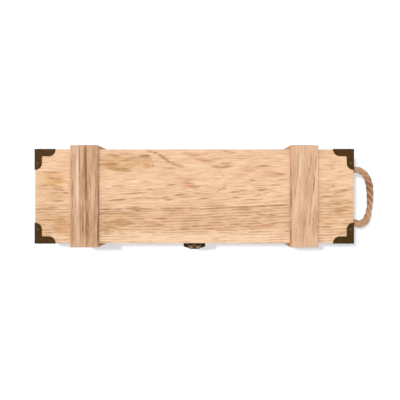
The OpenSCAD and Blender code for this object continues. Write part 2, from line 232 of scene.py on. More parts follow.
def weigh_edges(obj, rule):
    """Gives each edge the bevel weight that the rule says for its middle."""
    weights = obj.data.attributes.get("bevel_weight_edge")
    if weights is None:
        weights = obj.data.attributes.new("bevel_weight_edge", "FLOAT", "EDGE")
    points = obj.data.vertices
    for edge in obj.data.edges:
        middle = (points[edge.vertices[0]].co + points[edge.vertices[1]].co) / 2
        weights.data[edge.index].value = rule(middle)


def ease_by_weight(obj, width):
    apply_modifier(obj, "Ease", "BEVEL", limit_method="WEIGHT", width=width, segments=3)


def ease_by_angle(obj, width, degrees=60, segments=2):
    apply_modifier(
        obj, "Ease", "BEVEL", limit_method="ANGLE", angle_limit=math.radians(degrees),
        width=width, segments=segments,
    )


def cut_away(obj, cutter):
    """Takes the cutter's shape out of the object, and deletes the cutter."""
    apply_modifier(obj, "Cut", "BOOLEAN", operation="DIFFERENCE", solver="EXACT", object=cutter)
    bpy.data.objects.remove(cutter)


def add_object(name, data):
    """A new object in the scene."""
    obj = bpy.data.objects.new(name, data)
    bpy.context.scene.collection.objects.link(obj)
    return obj


def add_shape(name, shape):
    """A new mesh object from a bmesh, which is freed."""
    mesh = bpy.data.meshes.new(name)
    shape.to_mesh(mesh)
    shape.free()
    return add_object(name, mesh)


def join(name, parts):
    deselect()
    for part in parts:
        part.select_set(True)
    bpy.context.view_layer.objects.active = parts[0]
    if len(parts) > 1:
        bpy.ops.object.join()
    obj = bpy.context.object
    obj.name = name
    obj.data.name = name
    return obj


def placed_copy(obj, place):
    """A copy with its own mesh, moved by a matrix; a mirrored one is turned right side out."""
    copy = obj.copy()
    copy.data = obj.data.copy()
    copy.data.transform(place)
    if place.determinant() < 0:
        copy.data.flip_normals()
    bpy.context.scene.collection.objects.link(copy)
    return copy


def smooth(obj, degrees=32):
    """Smooth shading over soft bends, with the broad faces kept flat."""
    activate(obj)
    bpy.ops.object.shade_smooth_by_angle(angle=math.radians(degrees))
    apply_modifier(obj, "Flats", "WEIGHTED_NORMAL", keep_sharp=True, weight=80)


def dress(obj, body, slot, material, *nodes):
    """Gives a finished piece its material and the body that carries it, and hides the model's nodes that it
    stands for.
    """
    obj.data.materials.clear()
    obj.data.materials.append(material)
    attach(obj, body)
    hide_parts(*nodes)
    return obj


def finish_fitting(obj, body, node, material=None, bend=40):
    """Smooths a metal fitting and dresses it in bronze."""
    smooth(obj, bend)
    return dress(obj, body, "antique_bronze", material or bronze(), node)


class Graph:
    """Adds nodes to a material or a node group and joins them up."""

    def __init__(self, tree):
        self.tree = tree

    def feed(self, socket, value):
        if isinstance(value, bpy.types.NodeSocket):
            self.tree.links.new(value, socket)
        elif socket.type == "RGBA" and len(value) == 3:
            socket.default_value = (*value, 1)
        else:
            socket.default_value = value

    def node(self, kind, inputs=None, **options):
        made = self.tree.nodes.new(kind)
        for key, value in options.items():
            setattr(made, key, value)
        for key, value in (inputs or {}).items():
            self.feed(made.inputs[key], value)
        return made

    def math(self, operation, *values, clamp=False):
        made = self.node("ShaderNodeMath", dict(enumerate(values)), operation=operation, use_clamp=clamp)
        return made.outputs[0]

    def times(self, first, second, clamp=False):
        return self.math("MULTIPLY", first, second, clamp=clamp)

    def plus(self, first, second, clamp=False):
        return self.math("ADD", first, second, clamp=clamp)

    def minus(self, first, second):
        return self.math("SUBTRACT", first, second)

    def vector(self, operation, *values):
        made = self.node("ShaderNodeVectorMath", dict(enumerate(values)), operation=operation)
        return made.outputs["Value" if operation in ("LENGTH", "DOT_PRODUCT", "DISTANCE") else "Vector"]

    def scale(self, value, share):
        made = self.node("ShaderNodeVectorMath", {0: value, "Scale": share}, operation="SCALE")
        return made.outputs["Vector"]

    def mix(self, share, first, second):
        return self.node("ShaderNodeMix", {0: share, 6: first, 7: second}, data_type="RGBA").outputs[2]

    def noise(self, place, stretch, detail=3.0, roughness=0.55, output="Fac"):
        spread = self.vector("MULTIPLY", place, stretch)
        made = self.node(
            "ShaderNodeTexNoise", {"Vector": spread, "Scale": 1.0, "Detail": detail, "Roughness": roughness}
        )
        return made.outputs[output]

    def ease(self, value, low, high, start=0.0, end=1.0):
        made = self.node(
            "ShaderNodeMapRange",
            {"Value": value, "From Min": low, "From Max": high, "To Min": start, "To Max": end},
            interpolation_type="SMOOTHSTEP",
        )
        return made.outputs["Result"]

    def offset_noise(self, place, stretch, detail=2.0):
        """A noise vector round zero, to push a place about with."""
        return self.vector("SUBTRACT", self.noise(place, stretch, detail, 0.5, "Color"), (0.5, 0.5, 0.5))

    def ramp(self, value, stops):
        made = self.node("ShaderNodeValToRGB", {"Fac": value})
        points = made.color_ramp.elements
        while len(points) < len(stops):
            points.new(0.5)
        for point, (place, level) in zip(points, stops):
            point.position = place
            point.color = (level, level, level, 1)
        return made.outputs["Color"]

    def attribute(self, name):
        return self.node("ShaderNodeAttribute", attribute_name=name).outputs["Fac"]

    def parts(self, value):
        return self.node("ShaderNodeSeparateXYZ", {0: value}).outputs

    def bump(self, shader, height, strength, distance):
        """Turns the shader's normal by the height."""
        made = self.node("ShaderNodeBump", {"Height": height, "Strength": strength, "Distance": distance})
        self.feed(shader.inputs["Normal"], made.outputs["Normal"])

    def group(self, tree, inputs):
        made = self.node("ShaderNodeGroup", node_tree=tree)
        for key, value in inputs.items():
            self.feed(made.inputs[key], value)
        return made.outputs


def new_group(name, inputs, outputs):
    """A shader node group: its graph, its input sockets and its output node."""
    tree = bpy.data.node_groups.new(name, "ShaderNodeTree")
    for label, (kind, default) in inputs.items():
        socket = tree.interface.new_socket(label, in_out="INPUT", socket_type="NodeSocket" + kind)
        socket.default_value = default
    for label in outputs:
        tree.interface.new_socket(label, in_out="OUTPUT", socket_type="NodeSocketFloat")
    graph = Graph(tree)
    return graph, graph.node("NodeGroupInput").outputs, graph.node("NodeGroupOutput").inputs


def shared_group(name, build):
    """The node group of that name, built the first time that a material asks for it."""
    found = bpy.data.node_groups.get(name)
    if found is None:
        build(name)
        found = bpy.data.node_groups[name]
    return found


# Pitch of a board's finest lines, in mm
REED_PITCH = 2.8
# How dark a year's ring is across its width, from pale early wood to the late wood's line
RING_SHADES = [(0.0, 0.35), (0.14, 0.03), (0.55, 0.08), (0.78, 0.4), (0.9, 1.0), (1.0, 0.35)]


def build_timber_figure(name):
    """Year rings, fibres, broad tone, dashes, fine reeds and pores of a board, from a log that lies along the
    place's X, in mm."""
    graph, given, out = new_group(
        name,
        {
            "Place": ("Vector", (0, 0, 0)),
            "Ring Width": ("Float", 5.0),
            "Pith": ("Vector", (0, 0, 0)),
            "Climb": ("Vector", (0, 0, 0)),
            "Wave": ("Float", 6.0),
        },
        ("Rings", "Fibre", "Tone", "Dashes", "Reeds", "Pores"),
    )
    place = given["Place"]
    bent = place
    for stretch, share in (((0.007, 0.016, 0.02), 2.4), ((0.026, 0.05, 0.05), 0.7)):
        warp = graph.scale(graph.offset_noise(place, stretch), graph.times(given["Wave"], share))
        bent = graph.vector("ADD", bent, warp)
    along = graph.parts(place)["X"]
    lean = graph.scale(given["Climb"], along)
    offset = graph.vector("SUBTRACT", graph.vector("SUBTRACT", bent, given["Pith"]), lean)
    radius = graph.vector("LENGTH", graph.vector("MULTIPLY", offset, (0, 1, 1)))
    uneven = graph.node(
        "ShaderNodeTexNoise", {"W": radius, "Scale": 0.06, "Detail": 1.0}, noise_dimensions="1D"
    )
    swell = graph.times(graph.minus(uneven.outputs["Fac"], 0.5), 16.0)
    phase = graph.math("DIVIDE", graph.plus(radius, swell), given["Ring Width"])
    year = graph.node("ShaderNodeTexWhiteNoise", {"W": graph.math("FLOOR", phase)}, noise_dimensions="1D")
    line = graph.ramp(graph.math("FRACT", phase), RING_SHADES)
    weight = graph.plus(0.2, graph.times(year.outputs["Value"], 0.8))
    broken = graph.ease(graph.noise(bent, (0.045, 0.35, 0.35), 2.0, 0.5), 0.36, 0.6, 0.25, 1.0)
    graph.feed(out["Rings"], graph.times(graph.times(line, weight), broken))
    broad = graph.noise(bent, (0.026, 0.3, 0.3), 3.0, 0.55)
    thin = graph.noise(bent, (0.07, 1.2, 1.2), 3.0, 0.65)
    both = graph.plus(graph.times(broad, 0.25), graph.times(thin, 0.75))
    graph.feed(out["Fibre"], graph.ease(both, 0.4, 0.59))
    stray = graph.times(graph.noise(bent, (0.02, 0.1, 0.1), 2.0, 0.5), 3.5)
    turns = graph.plus(graph.times(radius, 2 * math.pi / REED_PITCH), stray)
    reed = graph.plus(graph.times(graph.math("COSINE", turns), 0.5), 0.5)
    present = graph.ease(graph.noise(bent, (0.07, 0.5, 0.5), 3.0, 0.6), 0.38, 0.58)
    graph.feed(out["Reeds"], graph.times(reed, present))
    graph.feed(out["Tone"], graph.ease(graph.noise(bent, (0.009, 0.035, 0.035), 2.0, 0.5), 0.3, 0.7))
    graph.feed(out["Dashes"], graph.ease(graph.noise(bent, (0.05, 1.15, 1.15), 2.0, 0.5), 0.57, 0.67))
    graph.feed(out["Pores"], graph.ease(graph.noise(place, (0.11, 4.5, 4.5), 2.0, 0.5), 0.6, 0.74))


def build_edge_rub(name):
    """1 along the edges within the radius, 0 on the flats."""
    graph, given, out = new_group(name, {"Radius": ("Float", 0.001), "Reach": ("Float", 0.3)}, ("Mask",))
    rounded = graph.node("ShaderNodeBevel", {"Radius": given["Radius"]}, samples=4).outputs["Normal"]
    true = graph.node("ShaderNodeNewGeometry").outputs["Normal"]
    turn = graph.minus(1.0, graph.vector("DOT_PRODUCT", rounded, true))
    graph.feed(out["Mask"], graph.ease(turn, 0.01, given["Reach"]))


def edge_rub(graph, radius, reach):
    """The mask of edges rubbed within that radius."""
    return graph.group(shared_group("Edge Rub", build_edge_rub), {"Radius": radius, "Reach": reach})["Mask"]


def emptied_graph(owner):
    """The node graph of a material or a world, with nothing in it."""
    owner.use_nodes = True
    owner.node_tree.nodes.clear()
    return Graph(owner.node_tree)


def new_material(name):
    """A material with its graph, its shader node and its place in mm."""
    material = bpy.data.materials.new(name)
    graph = emptied_graph(material)
    shader = graph.node("ShaderNodeBsdfPrincipled")
    graph.node("ShaderNodeOutputMaterial", {"Surface": shader.outputs["BSDF"]})
    coordinates = graph.node("ShaderNodeTexCoord").outputs["Object"]
    place = graph.vector("MULTIPLY", coordinates, (1 / MM, 1 / MM, 1 / MM))
    return material, graph, shader, place


# How strongly the pores and the rubbed edges darken a board
PORE_DEPTH = 0.16
RUB_DEPTH = 0.18
# A length, in mm, that no piece reaches
FAR = 10000.0
GRAIN_AXES = {"X": ("X", "Y", "Z"), "Y": ("Y", "X", "Z"), "Z": ("Z", "X", "Y")}


def streak_mask(graph, place, marks):
    """The strongest of several soft-edged streaks at a place. A mark is its middle, half sizes, tilt and
    strength. The running mask is carried in the place's third part, so that each mark is done before the next
    begins."""
    flat = graph.vector("MULTIPLY", place, (1, 1, 0))
    for x, y, half_length, half_width, tilt, strength in marks:
        local = graph.node(
            "ShaderNodeMapping",
            {
                "Vector": flat, "Location": (x, y, 0), "Rotation": (0, 0, math.radians(tilt)),
                "Scale": (half_length, half_width, 1000),
            },
            vector_type="TEXTURE",
        )
        one = graph.ease(graph.vector("LENGTH", local.outputs["Vector"]), 1.1, 0.4, 0.0, strength)
        lift = graph.node("ShaderNodeCombineXYZ", {"X": -FAR, "Y": -FAR, "Z": one}).outputs[0]
        flat = graph.vector("MAXIMUM", flat, lift)
    return graph.parts(flat)["Z"]


def timber(
    name, grain, pale, tan, line, shift, ring=4.0, pith=(0, 0, -30), climb=(0, 0, 0), wave=6.0,
    depth=(0.45, 0.6, 0.32, 0.2, 0.4), marks=(), still=(), stray=1.6, zone=None,
):
    """A timber finish. shift is where in the log the board lies. depth is how strongly tone, rings, fibres,
    dashes and reeds show. marks are streaks grouped by colour, with the grain as their first axis, and stray
    is how far across it they wander; still ones don't. zone is a browner band along the grain: its two edges,
    the width of its fade, its slope and its strength; the rings and the fine lines fade out above it."""
    material, graph, shader, place = new_material(name)
    parts = graph.parts(place)
    turned = dict(enumerate(parts[axis] for axis in GRAIN_AXES[grain]))
    along = graph.node("ShaderNodeCombineXYZ", turned).outputs[0]
    board = graph.vector("ADD", along, shift)
    figure = graph.group(
        shared_group("Timber Figure", build_timber_figure),
        {"Place": board, "Ring Width": ring, "Pith": pith, "Climb": climb, "Wave": wave},
    )
    tone_depth, ring_depth, fibre_depth, dash_depth, reed_depth = depth
    tone = graph.times(figure["Tone"], tone_depth)
    fibre = graph.times(figure["Fibre"], fibre_depth)
    rings = graph.times(figure["Rings"], ring_depth)
    if zone:
        low, high, fade, slope, lift = zone
        height = graph.plus(parts["Y"], graph.times(parts["X"], -slope))
        above = graph.ease(height, low - fade, low + fade)
        inside = graph.times(graph.ease(height, high + 1, high - 2), above)
        tone = graph.plus(tone, graph.times(inside, lift), clamp=True)
        rings = graph.times(rings, graph.ease(height, high + 35, high + 16, 0.2, 1.0))
        rings = graph.times(rings, graph.ease(height, high + 1, high - 3, 1.0, 0.5))
        fibre = graph.times(fibre, graph.ease(height, high + 3, high - 3, 1.0, 0.7))
        reed_depth = graph.ease(height, high + 8, high - 1, 0.25 * reed_depth, reed_depth)
    colour = graph.mix(graph.plus(tone, fibre, clamp=True), pale, tan)
    colour = graph.mix(rings, colour, line)
    colour = graph.mix(graph.times(figure["Reeds"], reed_depth), colour, line)
    if marks:
        wander = graph.vector("MULTIPLY", graph.offset_noise(along, (0.03, 0.5, 0.5)), (16, stray, stray))
        loose = graph.vector("ADD", along, wander)
        feather = graph.plus(0.5, figure["Fibre"])
        for spot, groups in ((along, still), (loose, marks)):
            for tint, streaks in groups:
                share = graph.times(streak_mask(graph, spot, streaks), feather, clamp=True)
                colour = graph.mix(share, colour, tint)
    colour = graph.mix(graph.times(figure["Dashes"], dash_depth), colour, line)
    colour = graph.mix(graph.times(figure["Pores"], PORE_DEPTH), colour, line)
    colour = graph.mix(graph.times(edge_rub(graph, 0.9 * MM, 0.35), RUB_DEPTH), colour, line)
    graph.feed(shader.inputs["Base Color"], colour)
    graph.feed(shader.inputs["Roughness"], graph.ease(figure["Fibre"], 0.0, 1.0, 0.62, 0.78))
    shader.inputs["Specular IOR Level"].default_value = 0.28
    relief = graph.minus(graph.times(figure["Fibre"], -0.5), figure["Rings"])
    relief = graph.minus(relief, graph.times(figure["Pores"], 0.6))
    graph.bump(shader, relief, 0.35, 0.25 * MM)
    return material


def bronze(name="Antique Bronze", bright=0.0):
    """Browned bronze with olive patches, rubbed bright along its edges, and by a share all over. The piece's
    own painted values lighten it above 0 and blacken it below: on the clasp they stand for rubbed metal,
    painted highlights and painted shade."""
    found = bpy.data.materials.get(name)
    if found:
        return found
    look = settings("bronze")
    material, graph, shader, place = new_material(name)
    lean = graph.vector("DOT_PRODUCT", place, (0, -0.0017, 0))
    patches = graph.plus(graph.noise(place, (0.13, 0.13, 0.13), 4.0, 0.6), lean)
    patches = graph.ease(patches, 0.4, 0.62)
    specks = graph.noise(place, (1.7, 1.7, 1.7), 3.0, 0.65)
    worn = graph.times(edge_rub(graph, 0.5 * MM, 0.25), graph.ease(specks, 0.3, 0.62))
    handled = graph.attribute("handled")
    colour = graph.mix(graph.times(patches, 0.75), look.dark, look.olive)
    # The piece's painted values: above 0 towards the handled colour, for rubbed metal and painted highlights;
    # below 0 towards the deep colour, for painted shade.
    colour = graph.mix(graph.ease(handled, 0.0, 1.0, bright, 1.0), colour, look.handled)
    colour = graph.mix(graph.ease(handled, 0.0, -1.0), colour, look.deep)
    colour = graph.mix(graph.times(graph.ease(specks, 0.5, 0.75), 0.4), colour, look.deep)
    colour = graph.mix(graph.times(worn, 0.5), colour, look.worn)
    graph.feed(shader.inputs["Base Color"], colour)
    graph.feed(shader.inputs["Roughness"], graph.ease(specks, 0.3, 0.7, 0.56, 0.72))
    shader.inputs["Metallic"].default_value = 1.0
    shader.inputs["Specular Tint"].default_value = (0.7, 0.6, 0.48, 1)
    graph.bump(shader, specks, 0.3, 0.12 * MM)
    return material


def rope_finish():
    """Tan plant-fibre rope, darker in the valleys, with streaks along the yarns."""
    found = bpy.data.materials.get("Laid Rope")
    if found:
        return found
    look = settings("rope")
    material, graph, shader, place = new_material("Laid Rope")
    uv = graph.node("ShaderNodeUVMap", uv_map="lay").outputs["UV"]
    valley = graph.attribute("valley")
    streaks = graph.noise(uv, (160, 30, 1), 4.0, 0.65)
    clouds = graph.noise(place, (0.12, 0.12, 0.12), 2.0, 0.5)
    faded = graph.attribute("faded")
    streaked = graph.ease(streaks, 0.42, 0.8, 0.0, 0.55)
    share = graph.plus(graph.ease(valley, 0.12, 0.95), streaked, clamp=True)
    colour = graph.mix(share, look.tan, look.brown)
    colour = graph.mix(graph.ease(clouds, 0.35, 0.7, 0.0, 0.3), colour, srgb(150, 108, 76))
    colour = graph.mix(graph.ease(faded, 0.0, 1.0, 0.0, 0.75), colour, look.pale)
    colour = graph.mix(graph.ease(faded, 0.0, -1.0, 0.0, 0.6), colour, look.brown)
    graph.feed(shader.inputs["Base Color"], colour)
    graph.feed(shader.inputs["Roughness"], graph.ease(streaks, 0.3, 0.7, 0.75, 0.95))
    shader.inputs["Specular IOR Level"].default_value = 0.15
    shader.inputs["Sheen Weight"].default_value = 0.15
    graph.bump(shader, streaks, 0.5, 0.2 * MM)
    return material


def ray_mask(graph):
    """1 for rays from the camera, from glossy surfaces and through clear ones."""
    rays = graph.node("ShaderNodeLightPath").outputs
    shiny = graph.math("MAXIMUM", rays["Is Glossy Ray"], rays["Is Transmission Ray"])
    return graph.math("MAXIMUM", rays["Is Camera Ray"], shiny)


# Places in the photo, in pixels: the point straight below the camera and the middle of the box
PRINCIPAL_POINT_PX = (204.0, 196.15)
BOX_MIDDLE_PX = (194.3, 196.3)
PICTURE_PX = 400
SENSOR = 36.0
# The floor's grey as it lights the box and its tint as the camera sees it, and the glow that whitens it there
FLOOR_GREY = (0.74, 0.74, 0.74)
FLOOR_SEEN = (0.76, 0.82, 0.9)
FLOOR_GLOW = 0.27
FLOOR_SIZE = 12
# The angle that each lamp covers in the sky, and its turn, in degrees
KEY_SPREAD, KEY_TURN = 2.3, (-4.4, -9.3, 0)
SIDE_SPREAD, SIDE_TURN = 70, (0, -55, 0)


def add_camera(look):
    """A camera straight above the lid, shifted so that the box stands where the photo has it."""
    px = look.view_width / PICTURE_PX
    data = bpy.data.cameras.new("Camera")
    data.lens = SENSOR * look.height / look.view_width
    data.sensor_width = SENSOR
    data.shift_x = (PICTURE_PX / 2 - PRINCIPAL_POINT_PX[0]) / PICTURE_PX
    data.shift_y = (PRINCIPAL_POINT_PX[1] - PICTURE_PX / 2) / PICTURE_PX
    camera = add_object("Camera", data)
    camera.location = (
        (PRINCIPAL_POINT_PX[0] - BOX_MIDDLE_PX[0]) * px,
        (BOX_MIDDLE_PX[1] - PRINCIPAL_POINT_PX[1]) * px,
        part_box("lid_board")[1].z + look.height,
    )
    bpy.context.scene.camera = camera


def add_floor():
    """The pale floor, whiter to the camera than as a light on the box."""
    deselect()
    bpy.ops.mesh.primitive_plane_add(size=FLOOR_SIZE)
    floor = bpy.context.object
    floor.name = "floor"
    paper = bpy.data.materials.new("Pale Floor")
    graph = emptied_graph(paper)
    plain = graph.node("ShaderNodeBsdfDiffuse", {"Color": FLOOR_GREY})
    seen = graph.node("ShaderNodeBsdfDiffuse", {"Color": FLOOR_SEEN})
    glow = graph.node("ShaderNodeEmission", {"Color": (1, 1, 1), "Strength": FLOOR_GLOW})
    lit = graph.node("ShaderNodeAddShader", {0: seen.outputs[0], 1: glow.outputs[0]})
    both = graph.node("ShaderNodeMixShader", {0: ray_mask(graph), 1: plain.outputs[0], 2: lit.outputs[0]})
    graph.node("ShaderNodeOutputMaterial", {"Surface": both.outputs[0]})
    floor.data.materials.append(paper)


def add_sky(look):
    """An even sky, white to the camera."""
    world = bpy.data.worlds.new("Sky")
    bpy.context.scene.world = world
    graph = emptied_graph(world)
    even = graph.node("ShaderNodeBackground", {"Color": (1, 1, 1), "Strength": look.sky})
    white = graph.node("ShaderNodeBackground", {"Color": (1, 1, 1), "Strength": 1.0})
    both = graph.node("ShaderNodeMixShader", {0: ray_mask(graph), 1: even.outputs[0], 2: white.outputs[0]})
    graph.node("ShaderNodeOutputWorld", {"Surface": both.outputs[0]})


def add_lamp(name, strength, spread, turn):
    data = bpy.data.lights.new(name, "SUN")
    data.energy = strength * math.pi
    data.angle = math.radians(spread)
    lamp = add_object(name, data)
    lamp.rotation_euler = [math.radians(part) for part in turn]


def build_stage():
    """The camera straight above the lid, the pale floor, an even sky, a key lamp and a wide side lamp."""
    look = settings("stage")
    bpy.context.scene.view_settings.view_transform = "Standard"
    add_camera(look)
    add_floor()
    add_sky(look)
    add_lamp("Key", look.key, KEY_SPREAD, KEY_TURN)
    add_lamp("Side", look.side, SIDE_SPREAD, SIDE_TURN)


# Points that the rope passes, in mm: through the back hole, round the loop and through the front hole.
# The loop's own points are the ones of the model's free stretch.
ROPE_HEIGHT = 50.0
ROPE_SIDE = 29.5
LOOP_X = 179.05
ROPE_ROUTE = [
    (-12.05, 29.5, 0), (-8.05, 29.5, 0), (-4.05, 29.5, 0),
    (0, 29.5, 0), (5.2, 30.5, -1), (10.2, 29.8, -2.5), (15.1, 27.2, -4.7), (19.3, 22.8, -7),
    (22, 16.8, -8.8), (23.4, 9, -10), (23.8, 0, -10.5), (23.5, -8.5, -10.5), (22.6, -16, -9.8),
    (21.1, -22, -8.7), (18.5, -27.6, -7), (13.4, -31.3, -4.6), (8.4, -31.5, -2.3), (4, -30.5, -0.7),
    (0, -29.5, 0), (-4.05, -29.5, 0), (-8.05, -29.5, 0), (-12.05, -29.5, 0),
]
# How thick the rope is, how deep its lay shows and how bleached it is along the loop: the place along Y in
# mm, the share of its radius, the share of the valleys and -1 to 1. It is swollen behind its middle, half
# unlaid at the front, and darkest where a hand holds it.
ROPE_SWELL = [
    (-31.6, 1.16, 0.3, 0.0), (-27, 1.12, 0.35, 0.2), (-21, 1.0, 0.5, 0.35), (-17, 0.87, 0.8, 0.35),
    (-12, 0.92, 0.9, 0.35), (-7, 0.94, 1.0, 0.25), (-1, 1.05, 1.0, -0.05), (5, 1.12, 0.95, -0.05),
    (10, 1.15, 0.95, -0.55), (15, 1.15, 0.95, -0.65), (20, 1.05, 0.6, -0.3), (25, 1.0, 0.4, -0.2),
    (28.5, 0.98, 0.35, 0.1), (30.3, 0.98, 0.35, 0.35),
]
HOLE_RADIUS = 4.1
# The rounding of the holes' rims, in mm
RIM_EASE = 0.7
# The rope inside the holes, as a share of its radius, and where the loop's swell begins and is full, in mm
HELD_SHARE = 0.98
SWELL_START = 176
SWELL_FULL = 182


def smooth_point(a, b, c, d, t):
    """The point at share t between b and c, on the smooth curve through four neighbours."""
    return 0.5 * (
        2 * b + (c - a) * t + (2 * a - 5 * b + 4 * c - d) * t ** 2 + (3 * b - 3 * c + d - a) * t ** 3
    )


def smooth_route(points, steps):
    """A smooth curve through the points, with that many steps between two of them."""
    ends = [2 * points[0] - points[1], *points, 2 * points[-1] - points[-2]]
    curve = [
        smooth_point(*ends[i:i + 4], step / steps)
        for i in range(len(points) - 1)
        for step in range(steps)
    ]
    return [*curve, points[-1]]


def spaced(curve, gap):
    """Points on the curve at one even gap, and the distance along it of each."""
    lengths = [0.0]
    for a, b in zip(curve, curve[1:]):
        lengths.append(lengths[-1] + (b - a).length)
    count = max(2, round(lengths[-1] / gap))
    points, marks, i = [], [], 0
    for k in range(count + 1):
        along = lengths[-1] * k / count
        while i < len(curve) - 2 and lengths[i + 1] < along:
            i += 1
        share = (along - lengths[i]) / (lengths[i + 1] - lengths[i])
        points.append(curve[i].lerp(curve[i + 1], share))
        marks.append(along)
    return points, marks


def carried_frames(points):
    """Tangent and two sideways axes at each point, carried along the curve without twist."""
    last = len(points) - 1
    tangents = [(points[min(i + 1, last)] - points[max(i - 1, 0)]).normalized() for i in range(last + 1)]
    side = tangents[0].orthogonal().normalized()
    frames = []
    for tangent in tangents:
        side = (side - tangent * side.dot(tangent)).normalized()
        frames.append((tangent, side, tangent.cross(side)))
    return frames


def blend_table(table, place):
    """The table's values at a place, drawn straight between its rows."""
    for (a, *first), (b, *second) in zip(table, table[1:]):
        if place <= b:
            share = max(0.0, (place - a) / (b - a))
            return [x + (y - x) * share for x, y in zip(first, second)]
    return table[-1][1:]


def rope_swell(point):
    """The row of that table at a point, with a whole rope inside the holes."""
    radius, valley, faded = blend_table(ROPE_SWELL, point.y / MM)
    outside = min(1.0, max(0.0, (point.x / MM - SWELL_START) / (SWELL_FULL - SWELL_START)))
    return HELD_SHARE + (radius - HELD_SHARE) * outside, valley, faded


# A laid rope's section, as shares of its radius: how far out a strand's middle lies, the strand's own radius
# and how far its yarns stand out
STRAND_OUT = 0.42
STRAND_SIZE = 0.58
YARN_RISE = 0.022
YARN_SUNK = 0.02
# How much of that a valley hides, how fast the yarns go round beside the strands, and how dark the gaps
# between yarns are beside the valleys between strands
YARN_HIDDEN = 0.6
YARN_TWIST = 0.35
YARN_GAP = 0.16
# Points round the section, and their gap along the rope in mm
ROPE_SIDES = 72
ROPE_STEP = 0.4


def strand_reach(across):
    """How far from the rope's middle a round strand reaches, at an angle from the strand's own middle."""
    return STRAND_OUT * math.cos(across) + math.sqrt(STRAND_SIZE ** 2 - (STRAND_OUT * math.sin(across)) ** 2)


def strand_radius(angle, turn, lay_depth):
    """Share of the rope's radius at an angle, with pressed round strands and fine yarns; and how deep in a
    valley that is."""
    look = settings("rope")
    spread = 2 * math.pi / look.strands
    share = strand_reach((angle - turn) % spread - spread / 2)
    valley = (1 - share) / (1 - strand_reach(spread / 2))
    share = 1 - (1 - share) * lay_depth
    yarn = math.cos(look.yarns * angle + YARN_TWIST * turn)
    share += YARN_RISE * yarn * (1 - YARN_HIDDEN * valley) - YARN_SUNK
    return share, valley * lay_depth + YARN_GAP * (0.5 - 0.5 * yarn)


def laid_rope(name, curve, radius, swell=None):
    """A rope of laid strands along the curve, closed at both ends, as one mesh. Without a swell it is even
    and its ends are rounded."""
    look = settings("rope")
    sides = ROPE_SIDES
    points, marks = spaced(curve, ROPE_STEP * MM)
    frames = carried_frames(points)
    total = marks[-1]
    shape = bmesh.new()
    uv_layer = shape.loops.layers.uv.new("lay")
    valley_layer = shape.verts.layers.float.new("valley")
    faded_layer = shape.verts.layers.float.new("faded")
    rings = []
    for point, along, (tangent, side, up) in zip(points, marks, frames):
        turn = -2 * math.pi * along / look.lay
        thick, lay_depth, faded = swell(point) if swell else (1.0, 1.0, 0.0)
        closing = 1.0
        if not swell:
            closing = min(1.0, math.sqrt(max(0.02, min(along, total - along) / (0.6 * radius))))
        ring = []
        for k in range(sides):
            angle = 2 * math.pi * k / sides
            share, valley = strand_radius(angle, turn, lay_depth)
            reach = radius * thick * share * closing
            vert = shape.verts.new(point + side * reach * math.cos(angle) + up * reach * math.sin(angle))
            vert[valley_layer] = valley
            vert[faded_layer] = faded
            ring.append(vert)
        rings.append(ring)
    for i in range(len(rings) - 1):
        for k in range(sides):
            after = (k + 1) % sides
            face = shape.faces.new((rings[i][k], rings[i][after], rings[i + 1][after], rings[i + 1][k]))
            face.smooth = True
            corners = ((i, k), (i, k + 1), (i + 1, k + 1), (i + 1, k))
            for loop, (row, column) in zip(face.loops, corners):
                loop[uv_layer].uv = (marks[row], column / sides)
    for ring, point, flip in ((rings[0], points[0], True), (rings[-1], points[-1], False)):
        middle = shape.verts.new(point)
        middle[valley_layer] = 0.6
        for k in range(sides):
            pair = (ring[k], ring[(k + 1) % sides])
            shape.faces.new((middle, *(reversed(pair) if flip else pair))).smooth = True
    return add_shape(name, shape), points, frames


def add_fibre(shape, valley_layer, root, direction, droop, length, thickness):
    """One loose fibre: a bent, tapering hair of three sides."""
    steps = 4
    side = direction.orthogonal().normalized()
    up = direction.cross(side)
    rings = []
    for i in range(steps + 1):
        share = i / steps
        centre = root + direction * length * share + droop * length * share ** 2
        size = thickness * (1 - 0.75 * share)
        ring = []
        for k in range(3):
            angle = 2 * math.pi * k / 3
            vert = shape.verts.new(centre + side * size * math.cos(angle) + up * size * math.sin(angle))
            vert[valley_layer] = 0.05
            ring.append(vert)
        rings.append(ring)
    for i in range(steps):
        for k in range(3):
            after = (k + 1) % 3
            shape.faces.new((rings[i][k], rings[i][after], rings[i + 1][after], rings[i + 1][k]))
    shape.faces.new(reversed(rings[0]))
    shape.faces.new(rings[-1])


def fibre_piece(name, fibres):
    """One mesh of loose fibres, each given as root, direction, droop, length and thickness."""
    shape = bmesh.new()
    shape.loops.layers.uv.new("lay")
    valley_layer = shape.verts.layers.float.new("valley")
    for fibre in fibres:
        add_fibre(shape, valley_layer, *fibre)
    return add_shape(name, shape)


def random_unit(draw):
    return Vector((draw.gauss(0, 1), draw.gauss(0, 1), draw.gauss(0, 1))).normalized()


# Where the free loop's fibres begin along X, and the tuft inside the front bend, in mm
FIBRES_FROM = 187
TUFT_PLACE = (199.2, -21, 41)
TUFT_INWARD = (-1, -0.3, 0.25)
TUFT_FIBRES = 40
# Shortest and longest fibres, in mm, and their radius at the root
LOOP_LENGTHS, LOOP_RADII = (1.6, 5.0), (0.05, 0.09)
TUFT_LENGTHS, TUFT_RADIUS = (1.2, 2.8), 0.1
FRAY_LENGTHS, FRAY_RADIUS = (3.5, 6.0), 0.16
# How deep the fibres' roots sit, as shares of the rope's radius
LOOP_ROOT = 0.82
TUFT_ROOT = 0.75
FRAY_ROOT = 0.7
LOOP_SEED = 11
FRAY_SEED = 20


